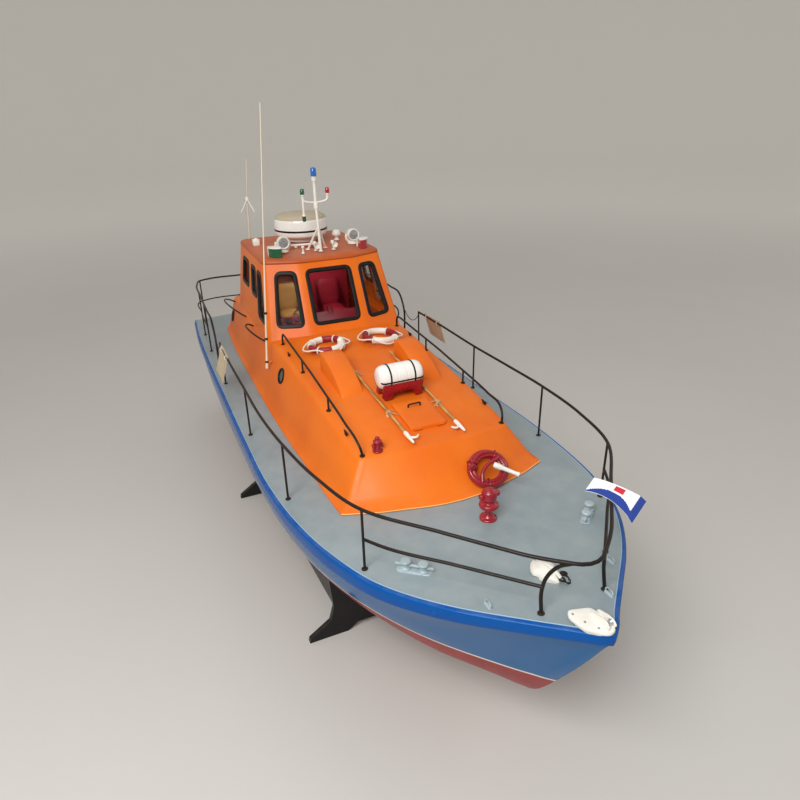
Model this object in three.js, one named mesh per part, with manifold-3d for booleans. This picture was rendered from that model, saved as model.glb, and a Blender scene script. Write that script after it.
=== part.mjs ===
// Scale model of a decked rescue boat on its display cradle. Millimetres, X towards the bow,
// Y towards port, Z up from the table that the cradle stands on.
import * as THREE from 'three';
import { mergeVertices } from 'three/examples/jsm/utils/BufferGeometryUtils.js';
import Module from 'manifold-3d';

const wasm = await Module();
wasm.setup();
const { Manifold, Mesh } = wasm;

// Driving dimensions
const HULL_END = 486;
const STERN = -487.1;
const GAP = 0.3;
const DECK_CAMBER = 5;
const DECK_THICK = 1.2;
const STRAKE_OUT = 4;
const STRAKE_DEEP = 14;
const WALL = 3;
const ROOF_Z = 352;
const ROOF_TOP = 361;
const WIRE = 1.1;
const PROP_X = -372;
const PROP_Y = 62;
const PROP_Z = 54;
const PROP_R = 18;
const BLADE_PITCH = 40;
const SHAFT_TILT = 4;
const RUDDER_X = -420;

// Hull stations: deck edge, side at the waterline, bilge and keel line
const HULL = [
  { x: -487.1, deckY: 156, deckZ: 181, sideY: 150, sideZ: 117, bilgeY: 128, bilgeZ: 94, keelZ: 84 },
  { x: -400, deckY: 161.5, deckZ: 180.5, sideY: 157, sideZ: 117, bilgeY: 134, bilgeZ: 86, keelZ: 75 },
  { x: -250, deckY: 165, deckZ: 180.5, sideY: 161, sideZ: 117, bilgeY: 137, bilgeZ: 76, keelZ: 62 },
  { x: -100, deckY: 165.5, deckZ: 181, sideY: 161, sideZ: 117, bilgeY: 136, bilgeZ: 73, keelZ: 57 },
  { x: 50, deckY: 165.5, deckZ: 182, sideY: 158, sideZ: 117, bilgeY: 130, bilgeZ: 73, keelZ: 55 },
  { x: 150, deckY: 164, deckZ: 184.5, sideY: 150, sideZ: 117, bilgeY: 118, bilgeZ: 73, keelZ: 54 },
  { x: 230, deckY: 156, deckZ: 188, sideY: 134, sideZ: 117, bilgeY: 98, bilgeZ: 74, keelZ: 54 },
  { x: 300, deckY: 141, deckZ: 193, sideY: 107, sideZ: 118, bilgeY: 72, bilgeZ: 76, keelZ: 56 },
  { x: 360, deckY: 117, deckZ: 197.5, sideY: 72, sideZ: 122, bilgeY: 43, bilgeZ: 82, keelZ: 62 },
  { x: 410, deckY: 79, deckZ: 203, sideY: 37, sideZ: 138, bilgeY: 19, bilgeZ: 103, keelZ: 78 },
  { x: 445, deckY: 43, deckZ: 207.5, sideY: 19, sideZ: 169, bilgeY: 9, bilgeZ: 149, keelZ: 130 },
  { x: 470, deckY: 17, deckZ: 211.5, sideY: 9, sideZ: 197, bilgeY: 4.5, bilgeZ: 186, keelZ: 174 },
  { x: 480, deckY: 7.5, deckZ: 213.5, sideY: 5, sideZ: 206, bilgeY: 3, bilgeZ: 200, keelZ: 193 },
  { x: 486, deckY: 0, deckZ: 214.5, sideY: 0, sideZ: 211, bilgeY: 0, bilgeZ: 208, keelZ: 204 },
];

// Coachroof outline, aft to bow: foot on the deck and top edge
const COACH = [
  { footX: -402, footY: 108, topX: -392, topY: 92, topZ: 244 },
  { footX: -300, footY: 113, topX: -300, topY: 97, topZ: 254 },
  { footX: -150, footY: 116, topX: -150, topY: 98, topZ: 257 },
  { footX: -60, footY: 117, topX: -60, topY: 94, topZ: 256 },
  { footX: 60, footY: 116, topX: 60, topY: 90, topZ: 249 },
  { footX: 160, footY: 113, topX: 160, topY: 88, topZ: 240 },
  { footX: 222, footY: 112, topX: 206, topY: 86, topZ: 234 },
  { footX: 240, footY: 111, topX: 217, topY: 84, topZ: 232.5 },
  { footX: 246, footY: 108.5, topX: 221, topY: 81, topZ: 232 },
  { footX: 256, footY: 85, topX: 225, topY: 66, topZ: 231.5 },
  { footX: 266, footY: 54, topX: 230, topY: 41, topZ: 231 },
  { footX: 275, footY: 20, topX: 232.5, topY: 16, topZ: 231 },
  { footX: 276.5, footY: 0, topX: 233, topY: 0, topZ: 231 },
];
const COACH_CAMBER = 7;

// Colours of the real pieces
const BLUE = 0x12489a;
const RED = 0x9a3a38;
const GREY = 0x8c979b;
const ORANGE = 0xe87a24;
const BLACK = 0x151515;
const WHITE = 0xe9e6df;
const DARKRED = 0x8a1420;
const WOOD = 0xa98252;
const BRASS = 0xb08a3c;
const GLASS = 0x303a40;

const group = new THREE.Group();
group.name = 'rescue_boat_model';

function tidy(points, faces) {
  const geo = new THREE.BufferGeometry();
  geo.setAttribute('position', new THREE.Float32BufferAttribute(points.flat(), 3));
  geo.setIndex(faces.flat());
  const merged = mergeVertices(geo, 1e-3);
  const index = merged.index.array;
  const keep = [];
  for (let i = 0; i < index.length; i += 3) {
    const [a, b, c] = [index[i], index[i + 1], index[i + 2]];
    if (a !== b && b !== c && c !== a) keep.push(a, b, c);
  }
  merged.setIndex(keep);
  return merged;
}

function volume(geo) {
  const p = geo.attributes.position;
  const index = geo.index.array;
  const v = [new THREE.Vector3(), new THREE.Vector3(), new THREE.Vector3()];
  let sum = 0;
  for (let i = 0; i < index.length; i += 3) {
    for (let k = 0; k < 3; k++) v[k].fromBufferAttribute(p, index[i + k]);
    sum += v[0].dot(v[1].clone().cross(v[2])) / 6;
  }
  return sum;
}

function outward(geo) {
  if (volume(geo) < 0) {
    const index = Array.from(geo.index.array);
    for (let i = 0; i < index.length; i += 3) [index[i], index[i + 1]] = [index[i + 1], index[i]];
    geo.setIndex(index);
  }
  return geo;
}

function capFaces(ring, start) {
  const a = new THREE.Vector3();
  for (let i = 0; i < ring.length; i++) {
    const p = new THREE.Vector3(...ring[i]);
    const q = new THREE.Vector3(...ring[(i + 1) % ring.length]);
    a.add(p.cross(q));
  }
  const size = [Math.abs(a.x), Math.abs(a.y), Math.abs(a.z)];
  const drop = size.indexOf(Math.max(...size));
  const flat = ring.map((p) => new THREE.Vector2(p[(drop + 1) % 3], p[(drop + 2) % 3]));
  const turn = THREE.ShapeUtils.area(flat) < 0;
  const order = flat.map((_, i) => i);
  if (turn) order.reverse();
  const tris = THREE.ShapeUtils.triangulateShape(order.map((i) => flat[i]), []);
  return tris.map((t) => {
    const f = t.map((i) => order[i] + start);
    return turn ? [f[2], f[1], f[0]] : f;
  });
}

// A closed body through rings with the same number of points
function loft(rings, closed = false) {
  const n = rings[0].length;
  const points = rings.flat();
  const faces = [];
  const last = closed ? rings.length : rings.length - 1;
  for (let r = 0; r < last; r++) {
    const s = ((r + 1) % rings.length) * n;
    for (let i = 0; i < n; i++) {
      const j = (i + 1) % n;
      faces.push([r * n + i, r * n + j, s + j], [r * n + i, s + j, s + i]);
    }
  }
  if (!closed) {
    const flip = capFaces(rings[0], 0).map((f) => [f[2], f[1], f[0]]);
    faces.push(...flip, ...capFaces(rings[rings.length - 1], (rings.length - 1) * n));
  }
  return outward(tidy(points, faces));
}

function solidOf(geo) {
  const g = mergeVertices(geo.index ? geo : mergeVertices(geo), 1e-3);
  const mesh = new Mesh({
    numProp: 3,
    vertProperties: new Float32Array(g.attributes.position.array),
    triVerts: new Uint32Array(g.index.array),
  });
  mesh.merge();
  return new Manifold(mesh);
}

function geometryOf(solid) {
  const mesh = solid.getMesh();
  const geo = new THREE.BufferGeometry();
  geo.setAttribute('position', new THREE.BufferAttribute(new Float32Array(mesh.vertProperties), 3));
  geo.setIndex(Array.from(mesh.triVerts));
  return geo;
}

function clean(geo) {
  const g = geo.clone();
  for (const name of ['normal', 'uv', 'color']) g.deleteAttribute(name);
  return g;
}

function join(list) {
  return geometryOf(list.map((g) => solidOf(clean(g))).reduce((a, b) => a.add(b)));
}

function cut(body, tools) {
  return geometryOf(tools.map((g) => solidOf(clean(g))).reduce((a, b) => a.subtract(b), solidOf(clean(body))));
}

function common(a, b) {
  return geometryOf(solidOf(clean(a)).intersect(solidOf(clean(b))));
}

// Round bar along a list of points
function bar(path, radius, sides = 8, closed = false) {
  const pts = path.map((p) => new THREE.Vector3(...p));
  const n = pts.length;
  const rings = [];
  let side = null;
  const rad = Array.isArray(radius) ? radius : path.map(() => radius);
  for (let i = 0; i < n; i++) {
    const before = closed ? pts[(i + n - 1) % n] : pts[Math.max(0, i - 1)];
    const after = closed ? pts[(i + 1) % n] : pts[Math.min(n - 1, i + 1)];
    const along = after.clone().sub(before).normalize();
    if (!side) {
      const up = Math.abs(along.z) > 0.9 ? new THREE.Vector3(1, 0, 0) : new THREE.Vector3(0, 0, 1);
      side = up.cross(along).normalize();
    }
    side = side.clone().addScaledVector(along, -side.dot(along)).normalize();
    const other = along.clone().cross(side);
    const ring = [];
    for (let k = 0; k < sides; k++) {
      const a = ((k + 0.5) / sides) * Math.PI * 2;
      const p = pts[i].clone().addScaledVector(side, rad[i] * Math.cos(a));
      p.addScaledVector(other, rad[i] * Math.sin(a));
      ring.push([p.x, p.y, p.z]);
    }
    rings.push(ring);
  }
  return loft(rings, closed);
}

function smooth(points, count) {
  const curve = new THREE.CatmullRomCurve3(points.map((p) => new THREE.Vector3(...p)), false, 'centripetal');
  return curve.getPoints(count).map((p) => [p.x, p.y, p.z]);
}

function block(x0, x1, y0, y1, z0, z1) {
  const g = new THREE.BoxGeometry(x1 - x0, y1 - y0, z1 - z0);
  g.translate((x0 + x1) / 2, (y0 + y1) / 2, (z0 + z1) / 2);
  return clean(g);
}

function rod(x, y, z0, z1, radius, sides = 16) {
  const g = new THREE.CylinderGeometry(radius, radius, z1 - z0, sides);
  g.rotateX(Math.PI / 2);
  g.translate(x, y, (z0 + z1) / 2);
  return clean(g);
}

function turned(profile, sides = 32) {
  const g = new THREE.LatheGeometry(profile.map((p) => new THREE.Vector2(...p)), sides);
  g.rotateX(Math.PI / 2);
  return outward(mergeVertices(clean(g), 1e-3));
}

// Plate drawn in one plane and given a thickness. plane is 'xz', 'yz' or 'xy'
function plate(outline, plane, from, to) {
  const at = {
    xz: (p, t) => [p[0], t, p[1]],
    yz: (p, t) => [t, p[0], p[1]],
    xy: (p, t) => [p[0], p[1], t],
  }[plane];
  return loft([outline.map((p) => at(p, from)), outline.map((p) => at(p, to))]);
}

function mirrored(geo) {
  const g = geo.clone();
  g.scale(1, -1, 1);
  return outward(g);
}

function moved(geo, x, y, z) {
  return geo.clone().translate(x, y, z);
}

function add(name, geo, color, metalness = 0, roughness = 0.5) {
  const g = geo.index ? geo : mergeVertices(geo);
  g.computeVertexNormals();
  const mesh = new THREE.Mesh(g, new THREE.MeshStandardMaterial({ color, metalness, roughness }));
  mesh.name = name;
  group.add(mesh);
  return mesh;
}

function both(name, geo, color, metalness, roughness) {
  add(`${name}_port`, geo, color, metalness, roughness);
  add(`${name}_starboard`, mirrored(geo), color, metalness, roughness);
}

// Smooth reading of one column of a station table
function column(table, key, name, x) {
  let i = 0;
  while (i < table.length - 2 && x > table[i + 1][key]) i++;
  const slope = (a, b) => (table[b][name] - table[a][name]) / (table[b][key] - table[a][key]);
  const tangent = (j) => {
    if (j === 0) return slope(0, 1);
    if (j === table.length - 1) return slope(j - 1, j);
    const before = table[j][key] - table[j - 1][key];
    const after = table[j + 1][key] - table[j][key];
    return (slope(j - 1, j) * after + slope(j, j + 1) * before) / (before + after);
  };
  const h = table[i + 1][key] - table[i][key];
  const t = (x - table[i][key]) / h;
  const [a, b] = [table[i][name], table[i + 1][name]];
  return (2 * t ** 3 - 3 * t ** 2 + 1) * a + (t ** 3 - 2 * t ** 2 + t) * h * tangent(i)
    + (3 * t ** 2 - 2 * t ** 3) * b + (t ** 3 - t ** 2) * h * tangent(i + 1);
}

function station(x) {
  const s = {};
  for (const name of ['deckY', 'deckZ', 'sideY', 'sideZ', 'bilgeY', 'bilgeZ', 'keelZ']) {
    s[name] = Math.max(0, column(HULL, 'x', name, x));
  }
  return s;
}

function crown(x, y) {
  const s = station(x);
  const half = Math.max(s.deckY, 0.01);
  const rise = DECK_CAMBER * Math.min(1, half / 165);
  return s.deckZ + rise * (1 - Math.min(1, (y / half) ** 2));
}

const DECK_TOP = GAP + DECK_THICK;
const onDeck = (x, y) => crown(x, y) + DECK_TOP + GAP;

const SIDE_STEPS = 12;
const DECK_STEPS = 6;

function hullSide(x) {
  const s = station(x);
  const pts = [
    [0, s.keelZ],
    [s.bilgeY * 0.5, s.keelZ + (s.bilgeZ - s.keelZ) * 0.42],
    [s.bilgeY, s.bilgeZ],
    [s.sideY, s.sideZ],
    [(s.sideY + s.deckY) / 2 + (s.sideY - s.deckY) * 0.06, (s.sideZ + s.deckZ) / 2],
    [s.deckY, s.deckZ],
  ];
  if (x >= HULL_END) {
    return Array.from({ length: SIDE_STEPS + 1 }, (_, i) =>
      [0, s.keelZ + ((s.deckZ - s.keelZ) * i) / SIDE_STEPS]);
  }
  const curve = new THREE.CatmullRomCurve3(pts.map((p) => new THREE.Vector3(p[0], p[1], 0)), false, 'centripetal');
  return curve.getPoints(SIDE_STEPS).map((p) => [Math.max(0, p.x), p.y]);
}

function deckRow(x, lift) {
  const half = station(x).deckY;
  return Array.from({ length: DECK_STEPS + 1 }, (_, i) => {
    const y = half * (1 - (2 * i) / DECK_STEPS);
    return [x, y, crown(x, y) + lift];
  });
}

const xs = [];
for (let x = STERN; x < 300; x += 39.3) xs.push(x);
xs.push(300, 330, 360, 385, 408, 426, 441, 454, 465, 474, 481, HULL_END);

function hullRing(x) {
  const side = hullSide(x);
  const port = side.map(([y, z]) => [x, y, z]);
  const top = deckRow(x, 0).slice(1, -1);
  const star = side.slice(1).reverse().map(([y, z]) => [x, -y, z]);
  return [...port, ...top, ...star];
}

const hullBody = loft(xs.map(hullRing));
const stockHole = (y) => rod(RUDDER_X, y, 60, 104, 2.9, 20);
add('hull', cut(hullBody, [stockHole(PROP_Y), stockHole(-PROP_Y)]), BLUE, 0, 0.3);

const deckRings = xs.map((x) => [...deckRow(x, GAP + DECK_THICK), ...deckRow(x, GAP).reverse()]);
add('deck', loft(deckRings), GREY, 0, 0.6);

// Closed path along the deck edge, moved out by a distance
function edgePath(out) {
  const side = xs.map((x) => [x, station(x).deckY, station(x).deckZ]);
  const path = [...side, ...side.slice(0, -1).reverse().map(([x, y, z]) => [x, -y, z])];
  const n = path.length;
  const normals = path.map((p, i) => {
    const q = path[(i + 1) % n];
    const d = new THREE.Vector2(q[0] - p[0], q[1] - p[1]).normalize();
    return new THREE.Vector2(-d.y, d.x);
  });
  return path.map((p, i) => {
    const a = normals[(i + n - 1) % n];
    const b = normals[i];
    const m = a.clone().add(b).normalize();
    const scale = out / Math.max(0.5, m.dot(b));
    return [p[0] + m.x * scale, p[1] + m.y * scale, p[2]];
  });
}

const inner = edgePath(GAP);
const outer = edgePath(STRAKE_OUT);
const strake = loft(inner.map((p, i) => {
  const q = outer[i];
  const lift = 1.6 + Math.max(0, (p[0] - 300) / 186) * 5;
  return [
    [p[0], p[1], p[2] + lift], [q[0], q[1], q[2] + lift - 1],
    [q[0], q[1], q[2] - STRAKE_DEEP + 1], [p[0], p[1], p[2] - STRAKE_DEEP],
  ];
}), true);
add('rubbing_strake', strake, BLUE, 0, 0.35);

// Keel, bilge keels
const below = (drop) => moved(hullBody, 0, 0, -drop);
const keel = plate([[-330, 44], [-320, 38], [320, 38], [352, 46], [372, 66], [372, 90], [-330, 90]], 'xz', -4, 4);
add('keel', cut(keel, [below(0.4)]), RED, 0, 0.5);

// Cradle: two cross plates, two side boards
function crossPlate(x, foot, waist, top, topZ) {
  const outline = [
    [-foot, 0], [-foot + 46, 0], [-foot + 58, 9], [foot - 58, 9], [foot - 46, 0], [foot, 0], [foot - 1, 5],
    [waist + 5, 22], [waist, 40], [top, topZ], [-top, topZ], [-waist, 40], [-waist - 5, 22], [-foot + 1, 5],
  ];
  return plate(outline, 'yz', x - 3, x + 3);
}
const sideBoard = loft([
  [[199, 113, 43], [199, 118, 43], [199, 118, 108], [199, 113, 108]],
  [[-124, 128, 41], [-124, 133, 41], [-124, 133, 108], [-124, 128, 108]],
]);
const cradleParts = [crossPlate(200, 149, 118, 122, 92), crossPlate(-125, 164, 133, 138, 96),
  sideBoard, mirrored(sideBoard)];
const cradle = cut(join(cradleParts), [below(0.5), moved(hullBody, 0, 0, -0.9), block(-400, 400, -4.5, 4.5, 37.5, 90)]);
add('cradle', cradle, BLACK, 0, 0.35);

// Coachroof
function coachRings(inset, topDrop, floor) {
  const rows = [];
  const steps = 26;
  for (let j = 0; j <= steps; j++) {
    const t = (j / steps) * (COACH.length - 1);
    const i = Math.min(COACH.length - 2, Math.floor(t));
    const mix = (name) => COACH[i][name] + (COACH[i + 1][name] - COACH[i][name]) * (t - i);
    rows.push({ footX: mix('footX'), footY: mix('footY'), topX: mix('topX'), topY: mix('topY'), topZ: mix('topZ') });
  }
  return rows.map((r) => {
    const mid = 6;
    const back = (x) => Math.min(Math.max(x, -392 + inset), 1000) - (x > 200 ? inset : 0);
    const footY = Math.max(0, r.footY - inset);
    const topY = Math.max(0, r.topY - inset);
    const row = [[back(r.footX), footY, floor]];
    row.push([back(r.footX), footY, crown(r.footX, footY) + DECK_TOP + 1]);
    const over = [];
    for (let k = 0; k <= mid; k++) {
      const y = topY * (1 - (2 * k) / mid);
      const rise = COACH_CAMBER * (1 - (y / 95) ** 2) - COACH_CAMBER * (1 - (topY / 95) ** 2);
      over.push([back(r.topX), y, r.topZ - topDrop + rise + COACH_CAMBER * (1 - (topY / 95) ** 2)]);
    }
    const foot = row.map(([x, y, z]) => [x, -y, z]).reverse();
    return [...row, ...over, ...foot];
  });
}
const deckEnvelope = loft(xs.map((x) => {
  const half = station(x).deckY;
  return [...deckRow(x, DECK_TOP + GAP), [x, -half, 20], [x, half, 20]];
}));
const coachOuter = loft(coachRings(0, 0, 170));
const coachInner = loft(coachRings(WALL, WALL, 160));

// Cabin outline at one height, moved in by a distance
function cabin(z, inset) {
  const front = -73 - 0.486 * (z - 257) - inset * 1.12;
  const half = 99 - 0.13 * (z - 257) - inset;
  const centre = 40 - 0.02 * (z - 257) - inset * 0.2;
  const corner = front - 0.36 * (half - centre);
  const aft = -316 + 0.06 * (z - 257) + inset;
  return [[front, centre], [corner, half], [aft, half - 3], [aft, -(half - 3)], [corner, -half], [front, -centre]];
}
const level = (z, inset) => cabin(z, inset).map(([x, y]) => [x, y, z]);
const cabinOuter = loft([level(236, 0), level(ROOF_Z, 0)]);
const cabinInner = loft([level(225, WALL), level(ROOF_Z + 2, WALL)]);
const cabinHole = loft([level(170, 8), level(268, 8)]);
const coach = cut(coachOuter, [coachInner, deckEnvelope, cabinHole]);
add('coachroof', coach, ORANGE, 0, 0.4);
const coachAbove = moved(coachOuter, 0, 0, GAP);

const OPENINGS = [
  plate([[-33, 274], [33, 274], [32, 343], [-32, 343]], 'yz', -150, -60),
  plate([[48, 273], [83, 273], [72, 342], [46, 342]], 'yz', -150, -60),
  plate([[-83, 273], [-48, 273], [-46, 342], [-72, 342]], 'yz', -150, -60),
  plate([[-156, 275], [-112, 275], [-146, 338], [-172, 338]], 'xz', -120, 120),
  plate([[-206, 298], [-170, 298], [-184, 338], [-214, 338]], 'xz', -120, 120),
  plate([[-280, 300], [-230, 300], [-234, 338], [-278, 338]], 'xz', -120, 120),
];
add('wheelhouse', cut(cabinOuter, [cabinInner, coachAbove, ...OPENINGS]), ORANGE, 0, 0.4);

const roofRing = (z, inset) => cabin(ROOF_Z, inset).map(([x, y]) => [x, y, z]);
const roof = loft([
  roofRing(ROOF_Z + GAP, -1.5), roofRing(ROOF_Z + 4, -1.5), roofRing(ROOF_TOP - 2, 8), roofRing(ROOF_TOP, 22),
]);
const roofAbove = moved(roof, 0, 0, GAP);
add('wheelhouse_roof', roof, ORANGE, 0, 0.45);

// Glazing set inside the walls
function frontGlass(z) {
  const line = (inset) => {
    const c = cabin(z, inset);
    const end = [c[0][0] + (c[1][0] - c[0][0]) * 0.88, c[0][1] + (c[1][1] - c[0][1]) * 0.88];
    return [end, c[0], c[5], [end[0], -end[1]]].map(([x, y]) => [x, y, z]);
  };
  return [...line(WALL + GAP), ...line(WALL + GAP + 1.2).reverse()];
}
add('windscreen_glass', loft([frontGlass(269), frontGlass(347)]), GLASS, 0, 0.1);
function sideGlass(z) {
  const o = cabin(z, WALL + GAP);
  const i = cabin(z, WALL + GAP + 1.2);
  const x0 = -300;
  const x1 = o[1][0] - 7;
  return [[x0, o[2][1] - 0.1, z], [x1, o[1][1] - 0.5, z], [x1, i[1][1] - 0.5, z], [x0, i[2][1] - 0.1, z]];
}
both('side_glass', loft([sideGlass(269), sideGlass(346)]), GLASS, 0, 0.1);

// Inside of the wheelhouse
const floorZ = 206;
add('cabin_floor', cut(block(-300, -96, -84, 84, 170, floorZ), [deckEnvelope]), DARKRED, 0, 0.7);
add('helm_console', plate([[-128, floorZ + GAP], [-100, floorZ + GAP], [-112, 262], [-150, 272], [-150, 262]], 'xz', -70, 70), DARKRED, 0, 0.6);
both('helm_seat', join([
  block(-232, -194, 18, 52, floorZ + GAP, 246), block(-236, -192, 14, 56, 245, 252), block(-240, -234, 14, 56, 245, 300),
]), DARKRED, 0, 0.7);

// Fairings beside the liferaft
const top = (x, y) => {
  const t = COACH.findIndex((r, i) => i < COACH.length - 1 && x >= r.topX && x <= COACH[i + 1].topX);
  const a = COACH[t];
  const b = COACH[t + 1];
  const edge = a.topZ + ((b.topZ - a.topZ) * (x - a.topX)) / (b.topX - a.topX);
  return edge + COACH_CAMBER * (1 - (y / 95) ** 2);
};
const onTop = (x, y) => top(x, y) + GAP;
const fairing = plate([
  [30, 236], [112, 232], [112, 248], [106, 254], [92, 262], [74, 270], [54, 276], [36, 278], [30, 276],
], 'xz', 36, 63);
both('fairing', cut(fairing, [coachAbove]), ORANGE, 0, 0.4);

// Liferaft canister and its cradle
const RAFT_X = 128;
const raftZ = onTop(RAFT_X, 0) + 22.5;
const canister = turned([[0, -27], [9, -26.5], [13, -23], [14, -19], [14, 19], [13, 23], [9, 26.5], [0, 27]], 28);
canister.rotateX(Math.PI / 2);
add('liferaft_canister', moved(canister, RAFT_X, 0, raftZ), WHITE, 0, 0.4);
const raftCut = clean(new THREE.CylinderGeometry(14.35, 14.35, 80, 28)).translate(RAFT_X, 0, raftZ);
add('liferaft_cradle', cut(join([
  block(RAFT_X - 13, RAFT_X + 13, -23, 23, raftZ - 15, raftZ - 1),
  block(RAFT_X - 11, RAFT_X + 11, -20, -14, 240, raftZ - 14),
  block(RAFT_X - 11, RAFT_X + 11, 14, 20, 240, raftZ - 14),
]), [raftCut, coachAbove]), DARKRED, 0, 0.45);

// Hatch with its raised rim
const hatchBlock = common(moved(coachOuter, 0, 0, 4.3), block(152, 205, -21, 21, 200, 270));
const hatch = cut(hatchBlock, [coachAbove]);
add('fore_hatch', hatch, ORANGE, 0, 0.4);

// Boat hooks
function hookGeometry() {
  const a = [30, 31, onTop(30, 31) + 4];
  const b = [206, 30, onTop(206, 30) + 4];
  const shaft = bar([a, b], 1.6, 10);
  const tip = [224, 30, b[2] - 1.5];
  const head = bar([b, tip], 2.2, 10);
  const horn = bar(smooth([[214, 30, b[2] - 0.5], [218, 25, b[2] - 0.5], [214, 21, b[2]]], 6), 1.5, 8);
  const pads = [70, 168].map((x) => block(x - 2, x + 2, 28.5, 32.5, onTop(x, 32.5), onTop(x, 30) + 4));
  return join([shaft, head, horn, ...pads]);
}
both('boat_hook', cut(hookGeometry(), [coachAbove]), WOOD, 0, 0.6);

// Life rings
function lifeRing() {
  const ring = [];
  for (let k = 0; k < 28; k++) {
    const a = (k / 28) * Math.PI * 2;
    ring.push([Math.cos(a) * 20, Math.sin(a) * 20, 0]);
  }
  const g = bar(ring, 5.2, 10, true);
  g.rotateX(-0.05);
  return g;
}
both('life_ring', moved(lifeRing(), -20, 38, onTop(-20, 20) + 5.6), WHITE, 0, 0.5);

// Handrails on the coachroof edge
const RAIL_POSTS = [-70, 26, 126, 218];
function handrail() {
  const y = (x) => (x > 200 ? 80 : 84);
  const z = (x) => onTop(x, y(x));
  const path = [[-70, 84, z(-70)]];
  path.push([-68, 84, z(-68) + 13], [-62, 84, z(-62) + 16]);
  for (let x = -40; x <= 200; x += 20) path.push([x, 84, z(x) + 16]);
  path.push([211, 83, z(211) + 15.5], [217, 81.5, z(217) + 12], [219, 80, z(218)]);
  const posts = RAIL_POSTS.slice(1, -1).map((x) => bar([[x, 84, z(x)], [x, 84, z(x) + 16]], WIRE, 8));
  return join([bar(path, WIRE + 0.2, 8), ...posts]);
}
both('coachroof_handrail', handrail(), BLACK, 0.2, 0.4);

// Guard rails
const RAIL_SIDE = [
  [-150, 157, 246], [-79, 158, 246], [27, 157, 246], [110, 156.5, 248], [190, 152, 252], [270, 141, 255.5],
  [330, 124, 257], [386, 80, 258], [420, 51, 258], [437, 36, 258], [452, 19, 258], [460, 8, 258], [462, 0, 258],
];
const RAIL_PATH = smooth([...RAIL_SIDE, ...RAIL_SIDE.slice(0, -1).reverse().map(([x, y, z]) => [x, -y, z])], 60);
function guardRail() {
  const parts = [bar(RAIL_PATH, 1.5, 6)];
  for (const s of [1, -1]) {
    for (const [x, y, z] of [[-150, 157, 246], [27, 157, 246], [190, 152, 252], [332, 123, 257]]) {
      const foot = Math.min(y, station(x).deckY - 6);
      parts.push(bar([[x, s * foot, onDeck(x, foot)], [x, s * y, z]], WIRE, 6));
    }
    const middle = [[332, s * 123, 228], [350, s * 112, 229], [395, s * 72, 231], [443, s * 28, 232]];
    parts.push(bar(smooth(middle, 8), WIRE, 6));
    const leg = [[456, s * 15, 258], [449, s * 20, 252], [444, s * 26, 240], [443, s * 28, 229], [446, s * 29, onDeck(446, 29)]];
    parts.push(bar(smooth(leg, 8), WIRE, 6));
  }
  return join(parts);
}
add('guard_rail_forward', guardRail(), BLACK, 0.3, 0.4);

function sternRail() {
  const z = 262;
  const top1 = smooth([[-206, 156, onDeck(-206, 156)], [-207, 156, 240], [-222, 156, 258], [-262, 156, z],
    [-360, 153, z], [-440, 148, z], [-466, 140, z], [-474, 124, z], [-476, 60, z], [-476, 6, z]], 26);
  const parts = [bar(top1, 1.5, 6)];
  for (const [x, y] of [[-300, 155], [-390, 152], [-466, 140], [-476, 60], [-476, 6]]) {
    const foot = Math.min(y, station(x).deckY - 5);
    parts.push(bar([[x, foot, onDeck(x, foot)], [x, y, z]], WIRE, 6));
  }
  parts.push(bar(smooth([[-300, 155, 224], [-390, 152, 224], [-466, 140, 224], [-474, 124, 224], [-476, 60, 224],
    [-476, 6, 224]], 16), WIRE, 6));
  return join(parts);
}
both('stern_rail', sternRail(), BLACK, 0.3, 0.4);

// Boards hung on the rails
both('side_board', plate([[-138, 204], [-84, 204], [-82, 250], [-136, 250]], 'xz', 159.8, 161), WHITE, 0, 0.6);
const card = [[391, 48, 260.2], [384, 63, 265], [424, 80, 265], [434, 63, 260.4], [439, 53, 260]];
const bowBoard = loft([card, card.map(([x, y, z]) => [x - 0.2, y - 0.2, z + 0.8])]);
add('bow_board', bowBoard, WHITE, 0, 0.6);

// Bow fittings
add('stemhead_roller', cut(join([
  plate([[461, -18], [466, -22], [477, -20], [487, -11], [489.5, -3], [486, 5], [467, 6]], 'xy', 205, 224.6),
  block(472, 489, -6.5, -4.5, 221, 229),
  block(472, 489, 2.5, 4.5, 221, 229),
  clean(new THREE.CylinderGeometry(3, 3, 8, 16)).translate(483.5, -1, 226.8),
]), [deckEnvelope, moved(strake, 0, 0, GAP)]), WHITE, 0.1, 0.5);
const az = onDeck(414, 0);
add('anchor', cut(join([
  bar([[404, 3, az + 3], [438, 1, az + 4]], 2.2, 10),
  plate([[400, -13], [418, -5], [418, 10], [400, 20], [404, 8], [404, 0]], 'xy', az - 1.4, az + 3.5),
]), [deckEnvelope]), WHITE, 0, 0.5);
function bollard() {
  const z = onDeck(355, 93);
  const feet = [346, 364].map((x) => rod(x, 88, z, z + 7, 3.2, 16));
  const caps = [346, 364].map((x) => rod(x, 88, z + 6, z + 9, 4.4, 16));
  return join([...feet, ...caps, block(339, 371, 83, 93, z - 2.5, z + 1.5),
    bar([[339, 88, z + 4.4], [371, 88, z + 4.4]], 1.4, 8)]);
}
both('bollard', cut(bollard(), [deckEnvelope]), GREY, 0.3, 0.4);
const postZ = onDeck(319, 4);
add('standpipe', cut(moved(turned([
  [0, 0], [9, 0], [9, 2.5], [5, 4], [5, 10], [8, 12], [8, 16], [5, 18], [5, 24], [7, 26], [7, 30], [3, 33], [0, 33],
], 24), 319, 4, postZ), [deckEnvelope]), DARKRED, 0.1, 0.4);
const coil = [];
for (let k = 0; k < 24; k++) {
  const a = (k / 24) * Math.PI * 2;
  coil.push([Math.sin(a) * -11.6, Math.cos(a) * 16, Math.sin(a) * 11]);
}
add('hose_coil', moved(bar(coil, 4.4, 10, true), 264.5, 36, 214.4), DARKRED, 0, 0.5);
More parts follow.
